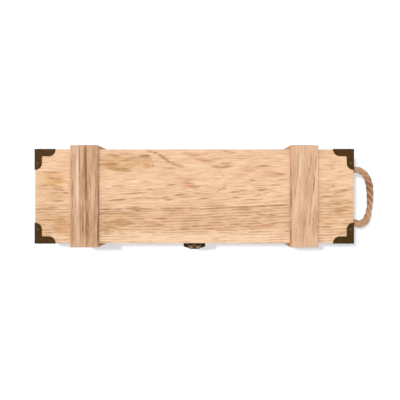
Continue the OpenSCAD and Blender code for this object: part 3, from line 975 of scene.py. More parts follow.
def loop_fibres(points, frames, radius):
    """Loose fibres along the free loop, and a small tuft inside its front bend."""
    draw = random.Random(LOOP_SEED)
    free = [i for i, point in enumerate(points) if point.x > FIBRES_FROM * MM]
    fibres = []
    for _ in range(settings("rope").fibres):
        i = draw.choice(free)
        tangent, side, up = frames[i]
        angle = draw.uniform(0, 2 * math.pi)
        outward = side * math.cos(angle) + up * math.sin(angle)
        lean = tangent * draw.choice((-1, 1)) * draw.uniform(0.8, 2.2) + outward * draw.uniform(0.3, 1.0)
        droop = random_unit(draw) * 0.35
        root = points[i] + outward * radius * LOOP_ROOT
        length = draw.uniform(*LOOP_LENGTHS) * MM
        fibres.append((root, lean.normalized(), droop, length, draw.uniform(*LOOP_RADII) * MM))
    tuft = min(free, key=lambda i: (points[i] - Vector(TUFT_PLACE) * MM).length)
    inward = Vector(TUFT_INWARD).normalized()
    for _ in range(TUFT_FIBRES):
        direction = (inward + random_unit(draw) * 0.45).normalized()
        root = points[tuft] + inward * radius * TUFT_ROOT + random_unit(draw) * 1.2 * MM
        droop = random_unit(draw) * 0.3
        fibres.append((root, direction, droop, draw.uniform(*TUFT_LENGTHS) * MM, TUFT_RADIUS * MM))
    return fibre_piece("rope_fibres", fibres)


# The overhand knot, as a curve round the rope's own line, in mm: where its middle is along X, its size across
# and along the hole, its rope's radius, and how far its neck, its last turn and its tail reach.
KNOT_X = 160.5
KNOT_MIDDLE = 3.5
KNOT_SWING = 2.3
KNOT_ROPE = 3.2
KNOT_NECK = 6.4
KNOT_EXIT = 7.0
KNOT_TAIL = 10.0
KNOT_STEPS = 30
FRAY_FIBRES = 150


def knot_route(sign):
    """From the wall's inner face through the knot to the end of its tail, along -X, in mm."""
    middle = Vector((KNOT_X, sign * ROPE_SIDE, ROPE_HEIGHT))
    curve = [middle + Vector((KNOT_NECK, 0, 0))]
    first, last = math.pi / 6, 2 * math.pi - math.pi / 6
    for i in range(KNOT_STEPS + 1):
        t = first + (last - first) * i / KNOT_STEPS
        reach = KNOT_MIDDLE + KNOT_SWING * math.cos(3 * t)
        curve.append(middle + Vector((
            KNOT_SWING * 1.25 * math.sin(3 * t), sign * reach * math.cos(2 * t), reach * math.sin(2 * t)
        )))
    curve.append(middle + Vector((-KNOT_EXIT, 0, 0)))
    curve.append(middle + Vector((-KNOT_TAIL, 0, -0.3)))
    return [point * MM for point in curve]


def knot_fray(name, tip, radius, seed):
    """The opened end of a rope's tail."""
    draw = random.Random(seed)
    fibres = []
    for _ in range(FRAY_FIBRES):
        spread = random_unit(draw)
        direction = Vector((-1, spread.y * 0.45, spread.z * 0.45 - 0.06)).normalized()
        root = tip + Vector((0.8 * MM, spread.y * radius * FRAY_ROOT, spread.z * radius * FRAY_ROOT))
        droop = random_unit(draw) * 0.25
        fibres.append((root, direction, droop, draw.uniform(*FRAY_LENGTHS) * MM, FRAY_RADIUS * MM))
    return fibre_piece(name, fibres)


def build_rope():
    """The loop through both holes, its loose fibres, and the two stopper knots inside the box."""
    look = settings("rope")
    radius = look.diameter / 2
    finish = rope_finish()
    for sign, side in ((-1, "front"), (1, "back")):
        curve = smooth_route(knot_route(sign), 4)
        knot, points, _ = laid_rope("stopper_knot_" + side, curve, KNOT_ROPE * MM)
        fray = knot_fray("fray_" + side, points[-1], KNOT_ROPE * MM, FRAY_SEED + sign)
        knot = join("stopper_knot_" + side, [knot, fray])
        dress(knot, "tray", "rope", finish, "rope_knot_" + side)
    offset = Vector((LOOP_X, 0, ROPE_HEIGHT))
    curve = smooth_route([(Vector(point) + offset) * MM for point in ROPE_ROUTE], 10)
    rope, points, frames = laid_rope("rope_handle", curve, radius, rope_swell)
    rope.data.materials.append(finish)
    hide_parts("rope_loop", "rope_stub_front", "rope_stub_back")
    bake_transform(rope)
    hairs = loop_fibres(points, frames, radius)
    hairs.data.materials.append(finish)
    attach(hairs, "rope")


# Marks on the lid and the battens, given one by one and grouped by colour. Each is its middle along and across
# the grain, its half length and half width, all in mm, its tilt in degrees and its strength.
TAN = srgb(216, 166, 112)
PINK = srgb(242, 196, 168)
OLIVE = srgb(176, 130, 80)
RUST = srgb(204, 142, 100)
BROWN = srgb(158, 110, 72)
UMBER = srgb(142, 98, 62)
LIGHT = srgb(250, 213, 178)
PLUM = srgb(162, 117, 82)
LID_STILL_MARKS = (
    (LIGHT, (
        (0, -46, 130, 7, 0, 0.45),
    )),
    (OLIVE, (
        (-52.5, 38, 5.5, 8, 0, 0.45), (-66, 39.5, 12, 7, 0, 0.4), (-91, 33, 10, 5, 0, 0.25),
        (-75, 46.5, 10, 1.6, -5, 0.4), (-88, 43.5, 9, 1.4, -3, 0.4),
    )),
    (BROWN, (
        (-49, 49.6, 5, 1.8, -14, 0.4), (-42.6, 47.6, 4.6, 2, -22, 0.52), (-37.7, 45.1, 4.4, 2.1, -32, 0.55),
        (-33.3, 42.3, 4.4, 2.1, -32, 0.55), (-29.4, 39.4, 4.2, 2.2, -40, 0.55),
        (-23.5, 36.2, 6, 2.6, -20, 0.45), (-17, 34, 7, 3.2, -14, 0.38), (-49.4, 42.6, 6.5, 1.8, -50, 0.42),
        (-45.5, 35.3, 4.5, 1.8, -82, 0.4),
        (-72, -14.3, 48, 1.1, 0.3, 0.5), (-8, -13.6, 50, 1.1, 0.8, 0.5), (44, -12, 38, 1.1, 1.6, 0.55),
        (82, -10.5, 30, 1.3, 2.2, 0.65), (150, -8.2, 26, 1.1, 2.2, 0.45),
    )),
)
LID_MARKS = (
    (TAN, (
        (-85, 36, 26, 11, 0, 0.65), (-55, 38, 15, 8, 0, 0.5), (-90, -29, 17, 12, 0, 0.45),
        (-147, -32, 12, 10, 0, 0.5), (-157, 17, 19, 11, 0, 0.85), (-160, -24, 14, 12, 0, 0.35),
        (-160, 0, 16, 12, 0, 0.25), (162, 26, 4, 2, 0, 0.3), (157, -20, 18, 22, 0, 0.25),
    )),
    (PINK, (
        (-32, 34, 9, 3, 0, 0.25),
    )),
    (OLIVE, (
        (-90, 34.5, 9, 3.5, 0, 0.6), (-82, 30, 16, 3.5, 0, 0.5), (-88, 44, 8, 1.5, -12, 0.5),
        (-78, 40, 9, 2, 0, 0.45), (-80, -28, 16, 3.5, 0, 0.55), (-92, -33, 9, 4, 0, 0.6),
        (-95, -39, 7, 3, 0, 0.35), (-72, -19, 16, 4, 0, 0.35), (38, 49, 9, 1.3, -7, 0.5),
        (2, 10, 5, 2, 0, 0.55), (33, 10, 4, 3, 40, 0.4), (70, 10, 10, 3, 0, 0.35),
        (165, 6.5, 9, 2, 15, 0.5), (164, -6, 14, 2, 2, 0.5), (-148, -27, 9, 4, 0, 0.35),
    )),
    (RUST, (
        (-3, 45.5, 11, 3, -8, 0.75), (14, 39, 13, 3, -5, 0.75), (-51, 34.5, 7, 4.5, 0, 0.55),
        (-55, 43.5, 8, 1.8, -14, 0.5), (-6, 13, 10, 4.5, -10, 0.6), (-12, 8, 5, 2.5, 0, 0.4),
        (-50, 7, 6, 2, 10, 0.45), (-35, 33, 6, 2, -20, 0.4), (-50, -30, 14, 2.5, 0, 0.4),
        (-20, -22, 30, 7, 0, 0.18), (22, -34, 18, 4, 0, 0.35), (58, 28, 11, 2, 0, 0.5),
        (60, 32, 15, 4, 0, 0.28), (90, 39, 10, 1.4, 0, 0.5), (86, 24, 13, 5, 3, 0.3),
        (82, -32, 9, 2.6, 0, 0.65), (67, -35, 10, 1.3, 0, 0.4), (-150, 26.5, 9, 1.4, 0, 0.5),
        (147, 34, 10, 3, -8, 0.4), (152, 31, 5, 2, -20, 0.45), (-146, -39, 10, 4, 0, 0.4),
    )),
    (BROWN, (
        (-72, 2.8, 13, 1, 4, 0.55), (-84, -4, 14, 1, 5, 0.5), (-55, -2, 20, 1, 1, 0.5),
        (-34, -1, 8, 1, 12, 0.5), (-29, -4, 6, 1.3, 0, 0.55), (-14, 1.8, 12, 1, 8, 0.5),
        (8, 3, 16, 1, 0, 0.6), (26, 6, 6, 1.2, 34, 0.45), (-26, 12.4, 5, 1.1, 4, 0.55),
        (-26, 31, 10, 0.9, 0, 0.5), (-10, -27, 22, 1, 2, 0.45), (12, -2, 16, 1, 7, 0.5),
        (48, 5.5, 10, 1.1, 11, 0.55), (45, -1.3, 5, 1.5, 0, 0.55), (69, 1, 5, 1.5, 14, 0.5),
        (77, 3, 5, 1.5, 22, 0.45), (63, 18, 5, 1.5, 0, 0.4), (97, 24, 5, 1.2, 5, 0.5),
        (94, 0, 7, 1.2, 8, 0.4), (62, -3.5, 14, 1, 2, 0.45), (86, -20.5, 8, 1.2, -3, 0.5),
        (-40, -32, 8, 1.4, 0, 0.5), (16, -36, 7, 1.2, 0, 0.45), (-158, 26.8, 10, 1.3, 0, 0.5),
        (-154, 19.5, 12, 1.2, 0, 0.45), (-163, 12.4, 12, 1, 0, 0.45), (-148, 0.2, 9, 1, 1, 0.5),
        (-159, -13.8, 18, 1.1, 0, 0.5), (-145, -24.8, 6, 1.4, 0, 0.5), (-150, -36, 8, 1.6, 0, 0.45),
        (145, 7.7, 5, 2, 8, 0.5), (154, 11.5, 4, 1.3, 12, 0.5), (147, 0.5, 6, 1.1, 6, 0.55),
        (155, 3, 5, 1.3, 28, 0.5), (156, -16.8, 14, 1.1, 0, 0.5), (147, -33.7, 8, 1.2, 0, 0.55),
    )),
)
# Where the lid's finer streaks lie: a patch's middle and half sizes, in mm, and how many streaks it holds
STREAK_PATCHES = (
    (-78, 36, 24, 11, 10), (-75, -25, 26, 13, 9), (0, -30, 50, 8, 5), (45, 28, 42, 14, 6),
    (72, -22, 26, 12, 8), (72, 10, 26, 9, 4), (-50, 8, 46, 12, 5), (-155, 0, 16, 38, 9),
    (157, -14, 14, 30, 7),
)
STREAK_SEED = 5


def fine_streaks():
    """Thin streaks along the grain, drawn at random in each patch."""
    draw = random.Random(STREAK_SEED)
    return tuple(
        (
            x + draw.uniform(-half_length, half_length), y + draw.uniform(-half_width, half_width),
            draw.uniform(5, 12), draw.uniform(0.9, 1.5), draw.uniform(-2, 5), draw.uniform(0.35, 0.55),
        )
        for x, y, half_length, half_width, count in STREAK_PATCHES
        for _ in range(count)
    )


# The plum streak at -106.2 and the umber streaks at -105.4 and -105.2 across the grain are painted shade: a
# dark line along the left batten's inner edge, where its side face and the lid beside it lie in shade.
LEFT_BATTEN_MARKS = (
    (LIGHT, (
        (18, -128, 44, 2.2, 0, 0.65), (-38, -127, 20, 1.5, 0, 0.3), (0, -131.3, 40, 0.8, 0, 0.25),
        (0, -111.8, 36, 1.4, 0, 0.3),
    )),
    (PLUM, (
        (10, -133.8, 46, 1.2, 0, 0.5), (-35, -133, 24, 3, 0, 0.5), (-30, -124.5, 26, 1.1, 0, 0.5),
        (0, -121.8, 56, 2.4, 0, 0.4), (0, -107.9, 54, 1.1, 0, 0.55), (-35, -110.8, 26, 5, 0, 0.3),
        (25, -113.5, 22, 3.5, 0, 0.2), (30, -106.2, 28, 1.1, 0, 0.6),
    )),
    (UMBER, (
        (33, -119.2, 30, 2.3, 0, 0.85), (0, -118.3, 28, 2.1, 0, 0.75), (-36, -117.4, 27, 2.8, 0, 0.8),
        (33, -125.7, 26, 0.9, 0, 0.7), (-33, -121.9, 25, 1.3, 0, 0.6), (-2, -105.4, 22, 1.2, 0, 0.55),
        (-34, -105.2, 27, 1.5, 0, 0.9),
    )),
)
# The umber streaks at 105.9 across the grain are painted shade: a dark line along the right batten's inner
# edge, where its side face and the lid beside it lie in shade.
RIGHT_BATTEN_MARKS = (
    (LIGHT, (
        (33, 115.5, 25, 2.5, 4, 0.4), (-3, 112.3, 32, 2.5, 5, 0.3), (20, 133.4, 24, 1.8, 4, 0.4),
        (-9, 130.2, 21, 1.6, 5, 0.35),
    )),
    (PLUM, (
        (24, 109, 27, 2.6, 0, 0.25), (10, 124.5, 32, 5.5, 1, 0.3), (-23, 121.5, 21, 2.5, 4, 0.35),
        (-28, 132.4, 20, 4, 1, 0.4), (-34, 117.8, 22, 6.5, 2, 0.3), (31, 128.5, 21, 3.2, 0, 0.3),
        (37, 127.5, 16, 0.8, 1, 0.5),
    )),
    (UMBER, (
        (32, 105.9, 26, 0.9, 0, 0.55), (-5, 105.9, 30, 1.1, 0, 0.8), (-38, 105.9, 23, 1.2, 0, 0.9),
        (34, 113.5, 20, 0.8, 4, 0.5), (8, 111.3, 13, 0.8, 6, 0.5), (36, 133, 16, 0.8, 3, 0.55),
        (14, 131, 15, 1, 6, 0.6), (-4, 129, 12, 0.9, 6, 0.5), (-22, 126.8, 14, 0.8, 7, 0.5),
    )),
)


def case_timber(name, grain, shift, **changes):
    look = settings("timber")
    return timber(name, grain, look.pale, look.tan, look.line, shift, **changes)


def batten_timber(name, grain, shift, **changes):
    look = settings("timber")
    return timber(name, grain, look.batten_pale, look.batten_tan, look.line, shift, **changes)


def nodes_boxes(*nodes):
    corners = [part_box(node) for node in nodes]
    low = [min(c[0][k] for c in corners) for k in range(3)]
    high = [max(c[1][k] for c in corners) for k in range(3)]
    return low, high


def on_planes(middle, low, high):
    """In how many of a box's six faces the point lies."""
    return sum(abs(middle[k] - side[k]) < ON_FACE for side in (low, high) for k in range(3))


def ease_board(obj, shell, sharp=lambda middle: False):
    """Sands a board's edges: more where two outer faces of its shell meet than at a seam, but none that are
    said to be sharp."""
    look = settings("timber")

    def weight(middle):
        if sharp(middle):
            return 0.0
        return 1.0 if on_planes(middle, *shell) >= 2 else look.seam_ease

    weigh_edges(obj, weight)
    ease_by_weight(obj, look.ease)


def long_wall(name, node, end_node):
    """A front or back wall, whose ends reach past the end boards only outside their rebates."""
    low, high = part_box(node)
    end_low, end_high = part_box(end_node)
    inner = min(abs(end_low.x), abs(end_high.x))
    wall = block(name, (-inner, low.y, low.z), (inner, high.y, high.z))
    with edit_mode(wall):
        outside = end_high.y
        for y in (-outside, outside):
            if low.y < y < high.y:
                bisect((0, y, 0), (0, 1, 0))
        for sign in (-1, 1):
            pick(wall, "faces", lambda m: abs(m.x - sign * inner) < NEAR and abs(m.y) > outside)
            push((sign * (high.x - inner), 0, 0))
    return wall


# The play of a hinge's leaf in its pocket and the radius of the room round its knuckle, in mm
HINGE_PLAY = 0.1
KNUCKLE_ROOM = 1.7


def cut_hinge_pocket(wood, kind, hand):
    """Cuts the room that a hinge's leaf and knuckle take out of the tray's or the lid's wood."""
    low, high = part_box(f"{kind}_hinge_leaf_{hand}")
    pin_low, pin_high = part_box("hinge_pin_" + hand)
    axis = (pin_low + pin_high) / 2
    play = HINGE_PLAY * MM
    flat_low = low.z if kind == "body" else axis.z
    flat_high = axis.z if kind == "body" else high.z
    edges = ((low.x - play, low.y - play, flat_low), (high.x + play, high.y + play, flat_high))
    cut_away(wood, block("pocket", *edges))
    cut_away(wood, rod("pocket", axis, "X", KNUCKLE_ROOM * MM, pin_high.x - pin_low.x + 4 * play))


def at_hinge(middle):
    """Whether an edge belongs to a hinge's pocket."""
    for hand in ("left", "right"):
        low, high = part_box("hinge_pin_" + hand)
        if low.x - MM < middle.x < high.x + MM and abs(middle.z - low.z) < 3 * MM:
            return True
    return False


def finish_board(obj, body, slot, material, node):
    smooth(obj)
    return dress(obj, body, slot, material, node)


def build_case():
    """The boards of the tray and the lid, each with its own figure."""
    tray = nodes_boxes("bottom_board", "front_wall", "back_wall")
    lid = nodes_boxes("lid_board", "lid_rim_front", "lid_rim_back")
    floor_finish = case_timber("Bottom Timber", "X", (300, 40, 0), pith=(0, 10, -45))
    wall_finish = {
        -1: case_timber("Front Timber", "X", (90, 0, 20), pith=(0, 25, 130), climb=(0, 0.02, 0.04), wave=3),
        1: case_timber("Back Timber", "X", (640, 0, 10), pith=(0, -30, 125), climb=(0, 0.03, -0.03), wave=3),
    }
    end_finish = {
        -1: case_timber("Left End Timber", "Y", (30, 420, 5), pith=(0, 460, 70), wave=3.5),
        1: case_timber("Right End Timber", "Y", (210, 60, 5), pith=(0, 190, 95), wave=3.5),
    }
    lid_finish = case_timber(
        "Lid Timber", "X", (0, 0, 0), ring=3.6, pith=(0, 27, 88), climb=(0, 0, -0.085), wave=3.0,
        depth=(0.2, 0.45, 0.5, 0.34, 0.6), marks=(*LID_MARKS, (BROWN, fine_streaks())),
        still=LID_STILL_MARKS, zone=(-37.0, -13.0, 3.0, 0.027, 0.23),
    )

    bottom = block("bottom", *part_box("bottom_board"))
    ease_board(bottom, tray)
    finish_board(bottom, "tray", "case_wood", floor_finish, "bottom_board")

    lid_top = block("lid_top", *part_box("lid_board"))
    ease_board(lid_top, lid)
    finish_board(lid_top, "lid", "case_wood", lid_finish, "lid_board")

    for sign, side in ((-1, "front"), (1, "back")):
        for name, node, end_node, body, shell, kind in (
            (side + "_side", side + "_wall", "right_end", "tray", tray, "body"),
            ("lid_side_" + side, "lid_rim_" + side, "lid_rim_right", "lid", lid, "lid"),
        ):
            wall = long_wall(name, node, end_node)
            if side == "back":
                for hand in ("left", "right"):
                    cut_hinge_pocket(wall, kind, hand)
            ease_board(wall, shell, at_hinge)
            finish_board(wall, body, "case_wood", wall_finish[sign], node)

    for sign, side in ((-1, "left"), (1, "right")):
        for node, body, shell in ((side + "_end", "tray", tray), ("lid_rim_" + side, "lid", lid)):
            low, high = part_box(node)
            end = block(node + "_board", low, high)
            ease_board(end, shell)
            if node == "right_end":
                for y in (-ROPE_SIDE, ROPE_SIDE):
                    middle = ((low.x + high.x) / 2, y * MM, ROPE_HEIGHT * MM)
                    cut_away(end, rod("hole", middle, "X", HOLE_RADIUS * MM, 3 * (high.x - low.x), sides=40))
                ease_hole_rims(end)
            finish_board(end, body, "case_wood", end_finish[sign], node)


def ease_hole_rims(end):
    """Rounds over the rims of the two rope holes."""
    def near_hole(middle):
        reach = min(
            math.hypot(middle.y - y * MM, middle.z - ROPE_HEIGHT * MM) for y in (-ROPE_SIDE, ROPE_SIDE)
        )
        depth = min(abs(middle.x - corner.x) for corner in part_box("right_end"))
        return 1.0 if reach < (HOLE_RADIUS + 0.1) * MM and depth < ON_FACE else 0.0

    weigh_edges(end, near_hole)
    apply_modifier(end, "Round Over", "BEVEL", limit_method="WEIGHT", width=RIM_EASE * MM, segments=3)


# How strongly the broad brown tone shows on each short batten, set as painted shade: strongest on the two front
# ones, which lie in the box's shade, and weakest on the back right one, whose face the light falls on
SIDE_BATTEN_SHADE = {
    ("left", "front"): 1.0, ("left", "back"): 0.45, ("right", "front"): 1.0, ("right", "back"): 0.15,
}


def build_battens():
    """Two bands across the lid, and the short battens down the front and back."""
    look = settings("timber")
    top_finish = {
        "left": batten_timber(
            "Left Batten Timber", "Y", (0, 130, 0), ring=3.6, pith=(0, 24, 140), climb=(0, 0, 0.03),
            wave=0.6, depth=(0.3, 0.4, 0.42, 0.2, 0.25), marks=LEFT_BATTEN_MARKS, stray=0.8,
        ),
        "right": batten_timber(
            "Right Batten Timber", "Y", (410, -118, 0), ring=4.5, pith=(0, 6, 88), climb=(0, 0.02, 0.06),
            wave=3.0, depth=(0.1, 0.22, 0.27, 0.2, 0.12), marks=RIGHT_BATTEN_MARKS, stray=0.8,
        ),
    }
    for number, (side, top) in enumerate(top_finish.items()):
        band = block("top_batten_" + side, *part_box("lid_batten_top_" + side))
        weigh_edges(band, lambda middle: 1.0)
        ease_by_weight(band, look.ease)
        finish_board(band, "lid", "batten_wood", top, "lid_batten_top_" + side)
        for step, face in enumerate(("front", "back")):
            seed = 100 * (2 * number + step)
            finish = batten_timber(
                f"Batten Timber {side} {face}", "Z", (seed, 40 + seed, 0), pith=(0, 30 + seed, 12), ring=4.5,
                wave=4.0, depth=(SIDE_BATTEN_SHADE[side, face], 0.5, 0.45, 0.2, 0.1),
            )
            for kind, body in (("lid", "lid"), ("body", "tray")):
                node = f"{kind}_batten_{face}_{side}"
                low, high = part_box(node)
                batten = block(f"{kind}_side_batten_{face}_{side}", low, high)
                wall_y = low.y if face == "back" else high.y
                weigh_edges(batten, lambda m: look.seam_ease if abs(m.y - wall_y) < NEAR else 1.0)
                ease_by_weight(batten, look.ease)
                if face == "back":
                    cut_hinge_pocket(batten, kind, side)
                finish_board(batten, body, "batten_wood", finish, node)


# How far the edges of the fittings are broken, in mm
CAP_EASE = 0.12
PLATE_EASE = 0.15
SHEET_EASE = 0.16
KNUCKLE_EASE = 0.2
BARREL_EASE = 0.25
LEAF_EASE = 0.1
SCREW_EASE = 0.04
# Corner caps, in mm: reach along the edges, width of the arms, thickness of the sheet, inner fillet.
CAP_ARM = 22.5
CAP_WIDTH = 7.5
CAP_SHEET = 0.6
CAP_FILLET = 1.0
# How far the inner corner between two arms is pulled in, as a share of the fillet, and how round an arm's tip
# is, as a share of its width
CAP_PULL = 0.71
CAP_TIP = 0.985


def fold_cap():
    """One corner cap of folded sheet metal, with its corner at the origin and arms along +X, +Y and +Z."""
    look = settings("bronze")
    out, arm, width = -CAP_SHEET * MM, CAP_ARM * MM, CAP_WIDTH * MM
    fillet = width + CAP_FILLET * MM
    cap = block("cap", (out, out, out), (arm, arm, arm))

    def outside_arms(middle):
        _, second, largest = sorted(middle)
        return second > fillet or (second > width and largest > fillet)

    with edit_mode(cap):
        pick(cap, "faces", lambda m: max(m) > arm - NEAR)
        bpy.ops.mesh.delete(type="ONLY_FACE")
        for axis in range(3):
            normal = Vector([float(k == axis) for k in range(3)])
            bisect(normal * width, normal)
            bisect(normal * fillet, normal)
        pick(cap, "faces", outside_arms)
        bpy.ops.mesh.delete(type="FACE")
        shape = bmesh.from_edit_mesh(cap.data)
        for vert in shape.verts:
            if sum(abs(part - fillet) < NEAR for part in vert.co) == 2:
                pull = CAP_PULL * (fillet - width)
                vert.co = Vector([part - pull if abs(part - fillet) < NEAR else part for part in vert.co])
        loose = [v for v in shape.verts if not v.link_faces]
        bmesh.ops.delete(shape, geom=loose, context="VERTS")
        bmesh.update_edit_mesh(cap.data)
        bpy.ops.mesh.select_mode(type="VERT")
        pick(cap, "verts", lambda m: max(m) > arm - NEAR and sum(abs(part - width) < NEAR for part in m) == 1)
        bpy.ops.mesh.bevel(offset=width * CAP_TIP, segments=8, affect="VERTICES", clamp_overlap=False)
        bpy.ops.mesh.select_mode(type="EDGE")
        pick(cap, "edges", lambda m: sum(abs(part - out) < NEAR for part in m) >= 2)
        bpy.ops.mesh.bevel(offset=look.fold, segments=3, affect="EDGES", clamp_overlap=False)
    with edit_mode(cap, "VERT"):
        bpy.ops.mesh.select_all(action="SELECT")
        bpy.ops.mesh.remove_doubles(threshold=0.02 * MM)
        bpy.ops.mesh.normals_make_consistent(inside=False)
    apply_modifier(cap, "Sheet", "SOLIDIFY", thickness=CAP_SHEET * MM, offset=-1, use_even_offset=True)
    ease_by_angle(cap, CAP_EASE * MM, degrees=55)
    return cap


def corner_place(sign_x, sign_y, lid):
    """The matrix that takes the first octant's corner to a corner of the lid or the tray."""
    low, high = nodes_boxes("lid_board") if lid else nodes_boxes("bottom_board")
    corner = Vector((sign_x * high[0], sign_y * high[1], high[2] if lid else low[2]))
    flip = Matrix.Diagonal((-sign_x, -sign_y, -1 if lid else 1, 1))
    return Matrix.Translation(corner) @ flip


def all_corners():
    for lid in (True, False):
        for sign_x, side_x in ((-1, "left"), (1, "right")):
            for sign_y, side_y in ((-1, "front"), (1, "back")):
                yield lid, f"{side_y}_{side_x}", corner_place(sign_x, sign_y, lid)


def build_caps():
    """Eight corner caps, folded once and copied."""
    cap = fold_cap()
    for lid, corner, place in all_corners():
        prefix, body = ("lid_corner_", "lid") if lid else ("base_corner_", "tray")
        copy = placed_copy(cap, place)
        copy.name = ("lid_cap_" if lid else "base_cap_") + corner
        finish_fitting(copy, body, prefix + corner)
    bpy.data.objects.remove(cap)


# A cap's tacks on its top, end and side faces: the turn about the corner's diagonal and two distances, in mm.
CAP_TACKS = [(0, 3.2, 15), (120, 3.2, 12.5), (240, 17, 3.2)]
# Side view of a tack's head from its rim to its dimpled middle: radius and height, in mm.
TACK_PROFILE = [
    (1.9, 0), (1.9, 0.18), (1.72, 0.52), (1.4, 0.78), (1.08, 0.88), (0.8, 0.8), (0.55, 0.6), (0.25, 0.5),
]
# The sheet of the clasp's and the catch's plates, in mm
PLATE_SHEET = 0.9


def turn_tack():
    """One tack head, spun from its side view, standing on z = 0."""
    mesh = bpy.data.meshes.new("tack")
    mesh.from_pydata(
        [(radius * MM, 0, height * MM) for radius, height in TACK_PROFILE],
        [(i, i + 1) for i in range(len(TACK_PROFILE) - 1)], [],
    )
    tack = add_object("tack", mesh)
    with edit_mode(tack, "VERT"):
        bpy.ops.mesh.select_all(action="SELECT")
        bpy.ops.mesh.spin(steps=20, angle=2 * math.pi, center=(0, 0, 0), axis=(0, 0, 1))
        bpy.ops.mesh.select_all(action="SELECT")
        bpy.ops.mesh.remove_doubles(threshold=0.01 * MM)
        for height in (TACK_PROFILE[0][1], TACK_PROFILE[-1][1]):
            pick(tack, "verts", lambda m: abs(m.z - height * MM) < NEAR)
            bpy.ops.mesh.edge_face_add()
        bpy.ops.mesh.select_all(action="SELECT")
        bpy.ops.mesh.normals_make_consistent(inside=False)
    return tack


def build_tacks():
    """The round tacks of the caps and of the two clasp plates."""
    tack = turn_tack()
    rubbed = bronze("Rubbed Bronze", 0.25)
    groups = {True: [], False: []}
    for lid, _, place in all_corners():
        for turn, first, second in CAP_TACKS if lid else CAP_TACKS[1:]:
            spot = Matrix.Rotation(math.radians(turn), 4, Vector((1, 1, 1)))
            spot = spot @ Matrix.Translation(Vector((first, second, -CAP_SHEET)) * MM)
            groups[lid].append(placed_copy(tack, place @ spot @ Matrix.Rotation(math.pi, 4, "X")))
    finish_fitting(join("lid_cap_tacks", groups[True]), "lid", "lid_corner_tacks", rubbed, 50)
    finish_fitting(join("base_cap_tacks", groups[False]), "tray", "base_corner_tacks", rubbed, 50)
    stand = Matrix.Rotation(math.pi / 2, 4, "X")
    plate_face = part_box("front_wall")[0].y - PLATE_SHEET * MM
    radius = TACK_PROFILE[0][0] * MM
    for name, node, body in (
        ("clasp_rivets", "clasp_tacks", "lid"), ("catch_rivets", "catch_tacks", "tray"),
    ):
        low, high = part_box(node)
        spots = [(x, plate_face, (low.z + high.z) / 2) for x in (low.x + radius, high.x - radius)]
        parts = [placed_copy(tack, Matrix.Translation(spot) @ stand) for spot in spots]
        finish_fitting(join(name, parts), body, node, rubbed, 50)
    bpy.data.objects.remove(tack)


def finished_copy(name, node, width=LEAF_EASE):
    """A copy of a CAD node's shape with its triangles merged and its edges broken; the width is in mm."""
    obj = add_object(name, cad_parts[node].data.copy())
    with edit_mode(obj, "VERT"):
        bpy.ops.mesh.select_all(action="SELECT")
        bpy.ops.mesh.remove_doubles(threshold=0.001 * MM)
        bpy.ops.mesh.dissolve_limited(angle_limit=math.radians(1))
    ease_by_angle(obj, width * MM, degrees=40, segments=1)
    return obj


def build_hinges():
    """The two butt hinges with their pins and countersunk screws."""
    for hand in ("left", "right"):
        for name, node, body in (
            ("tray_leaf_", "body_hinge_leaf_", "tray"),
            ("lid_leaf_", "lid_hinge_leaf_", "lid"),
            ("hinge_rod_", "hinge_pin_", "tray"),
        ):
            finish_fitting(finished_copy(name + hand, node + hand), body, node + hand, bend=30)
    for name, node, body in (
        ("tray_hinge_screws", "body_hinge_screws", "tray"),
        ("lid_hinge_screw_set", "lid_hinge_screws", "lid"),
    ):
        finish_fitting(finished_copy(name, node, SCREW_EASE), body, node, bend=30)


# The raised border of a plate: its width, the width of its slope and its height, in mm
PLATE_BORDER = 1.3
PLATE_SLOPE = 0.25
PLATE_SUNK = 0.3


def rounded_plate(name, low, high, corner, rounded_top):
    """A plate on the front face with two rounded corners and a raised border."""
    plate = block(name, low, high)
    end = high[2] if rounded_top else low[2]

    def at_corner(middle):
        return abs(middle.z - end) < NEAR and min(abs(middle.x - low[0]), abs(middle.x - high[0])) < NEAR

    with edit_mode(plate, "EDGE"):
        pick(plate, "edges", at_corner)
        bpy.ops.mesh.bevel(offset=corner, segments=8, affect="EDGES")
        bpy.ops.mesh.select_mode(type="FACE")
        pick(plate, "faces", lambda m: abs(m.y - low[1]) < NEAR)
        bpy.ops.mesh.inset(thickness=PLATE_BORDER * MM, depth=0)
        bpy.ops.mesh.inset(thickness=PLATE_SLOPE * MM, depth=-PLATE_SUNK * MM)
    return plate


# The hasp's side view and front view, in mm from its pin: its flat part, its knuckle, its neck, its curled
# lip, its half widths, and its slot's two ends and half width. The grid says how finely the sheet is divided.
HASP_FLAT = 18.5
HASP_SHEET = 0.9
HASP_KNUCKLE = 2.2
HASP_NECK = 6.3
HASP_NECK_END = 2.8
HASP_CURL = 1.85
HASP_CURL_ANGLE = 66
HASP_HALF_WIDTHS = [
    (0, HASP_NECK), (HASP_NECK_END, HASP_NECK), (3.9, 10.3), (5, 10.5), (9, 9.6), (14, 8.0), (17.5, 6.8),
    (19.4, 6.3), (20.8, 5.3),
]
HASP_SLOT = (9.5, 14.5, 2.5)
HASP_GRID = (40, 53)
# The rails pressed up along its edges and the two lobes above its lip: the place and width across of each, as
# shares of the half width, its height in mm, and in mm from the pin where a rail is full, where it has faded
# out and over what length, and where a lobe lies and how long it is
RAIL_PLACE = 0.86
RAIL_WIDTH = 0.1
RAIL_HEIGHT = 0.35
RAIL_FULL = 6
RAIL_END = 19.5
RAIL_FADE = 3
LOBE_PLACE = 0.5
LOBE_WIDTH = 0.27
LOBE_HEIGHT = 0.75
LOBE_DOWN = 17.6
LOBE_LENGTH = 1.6
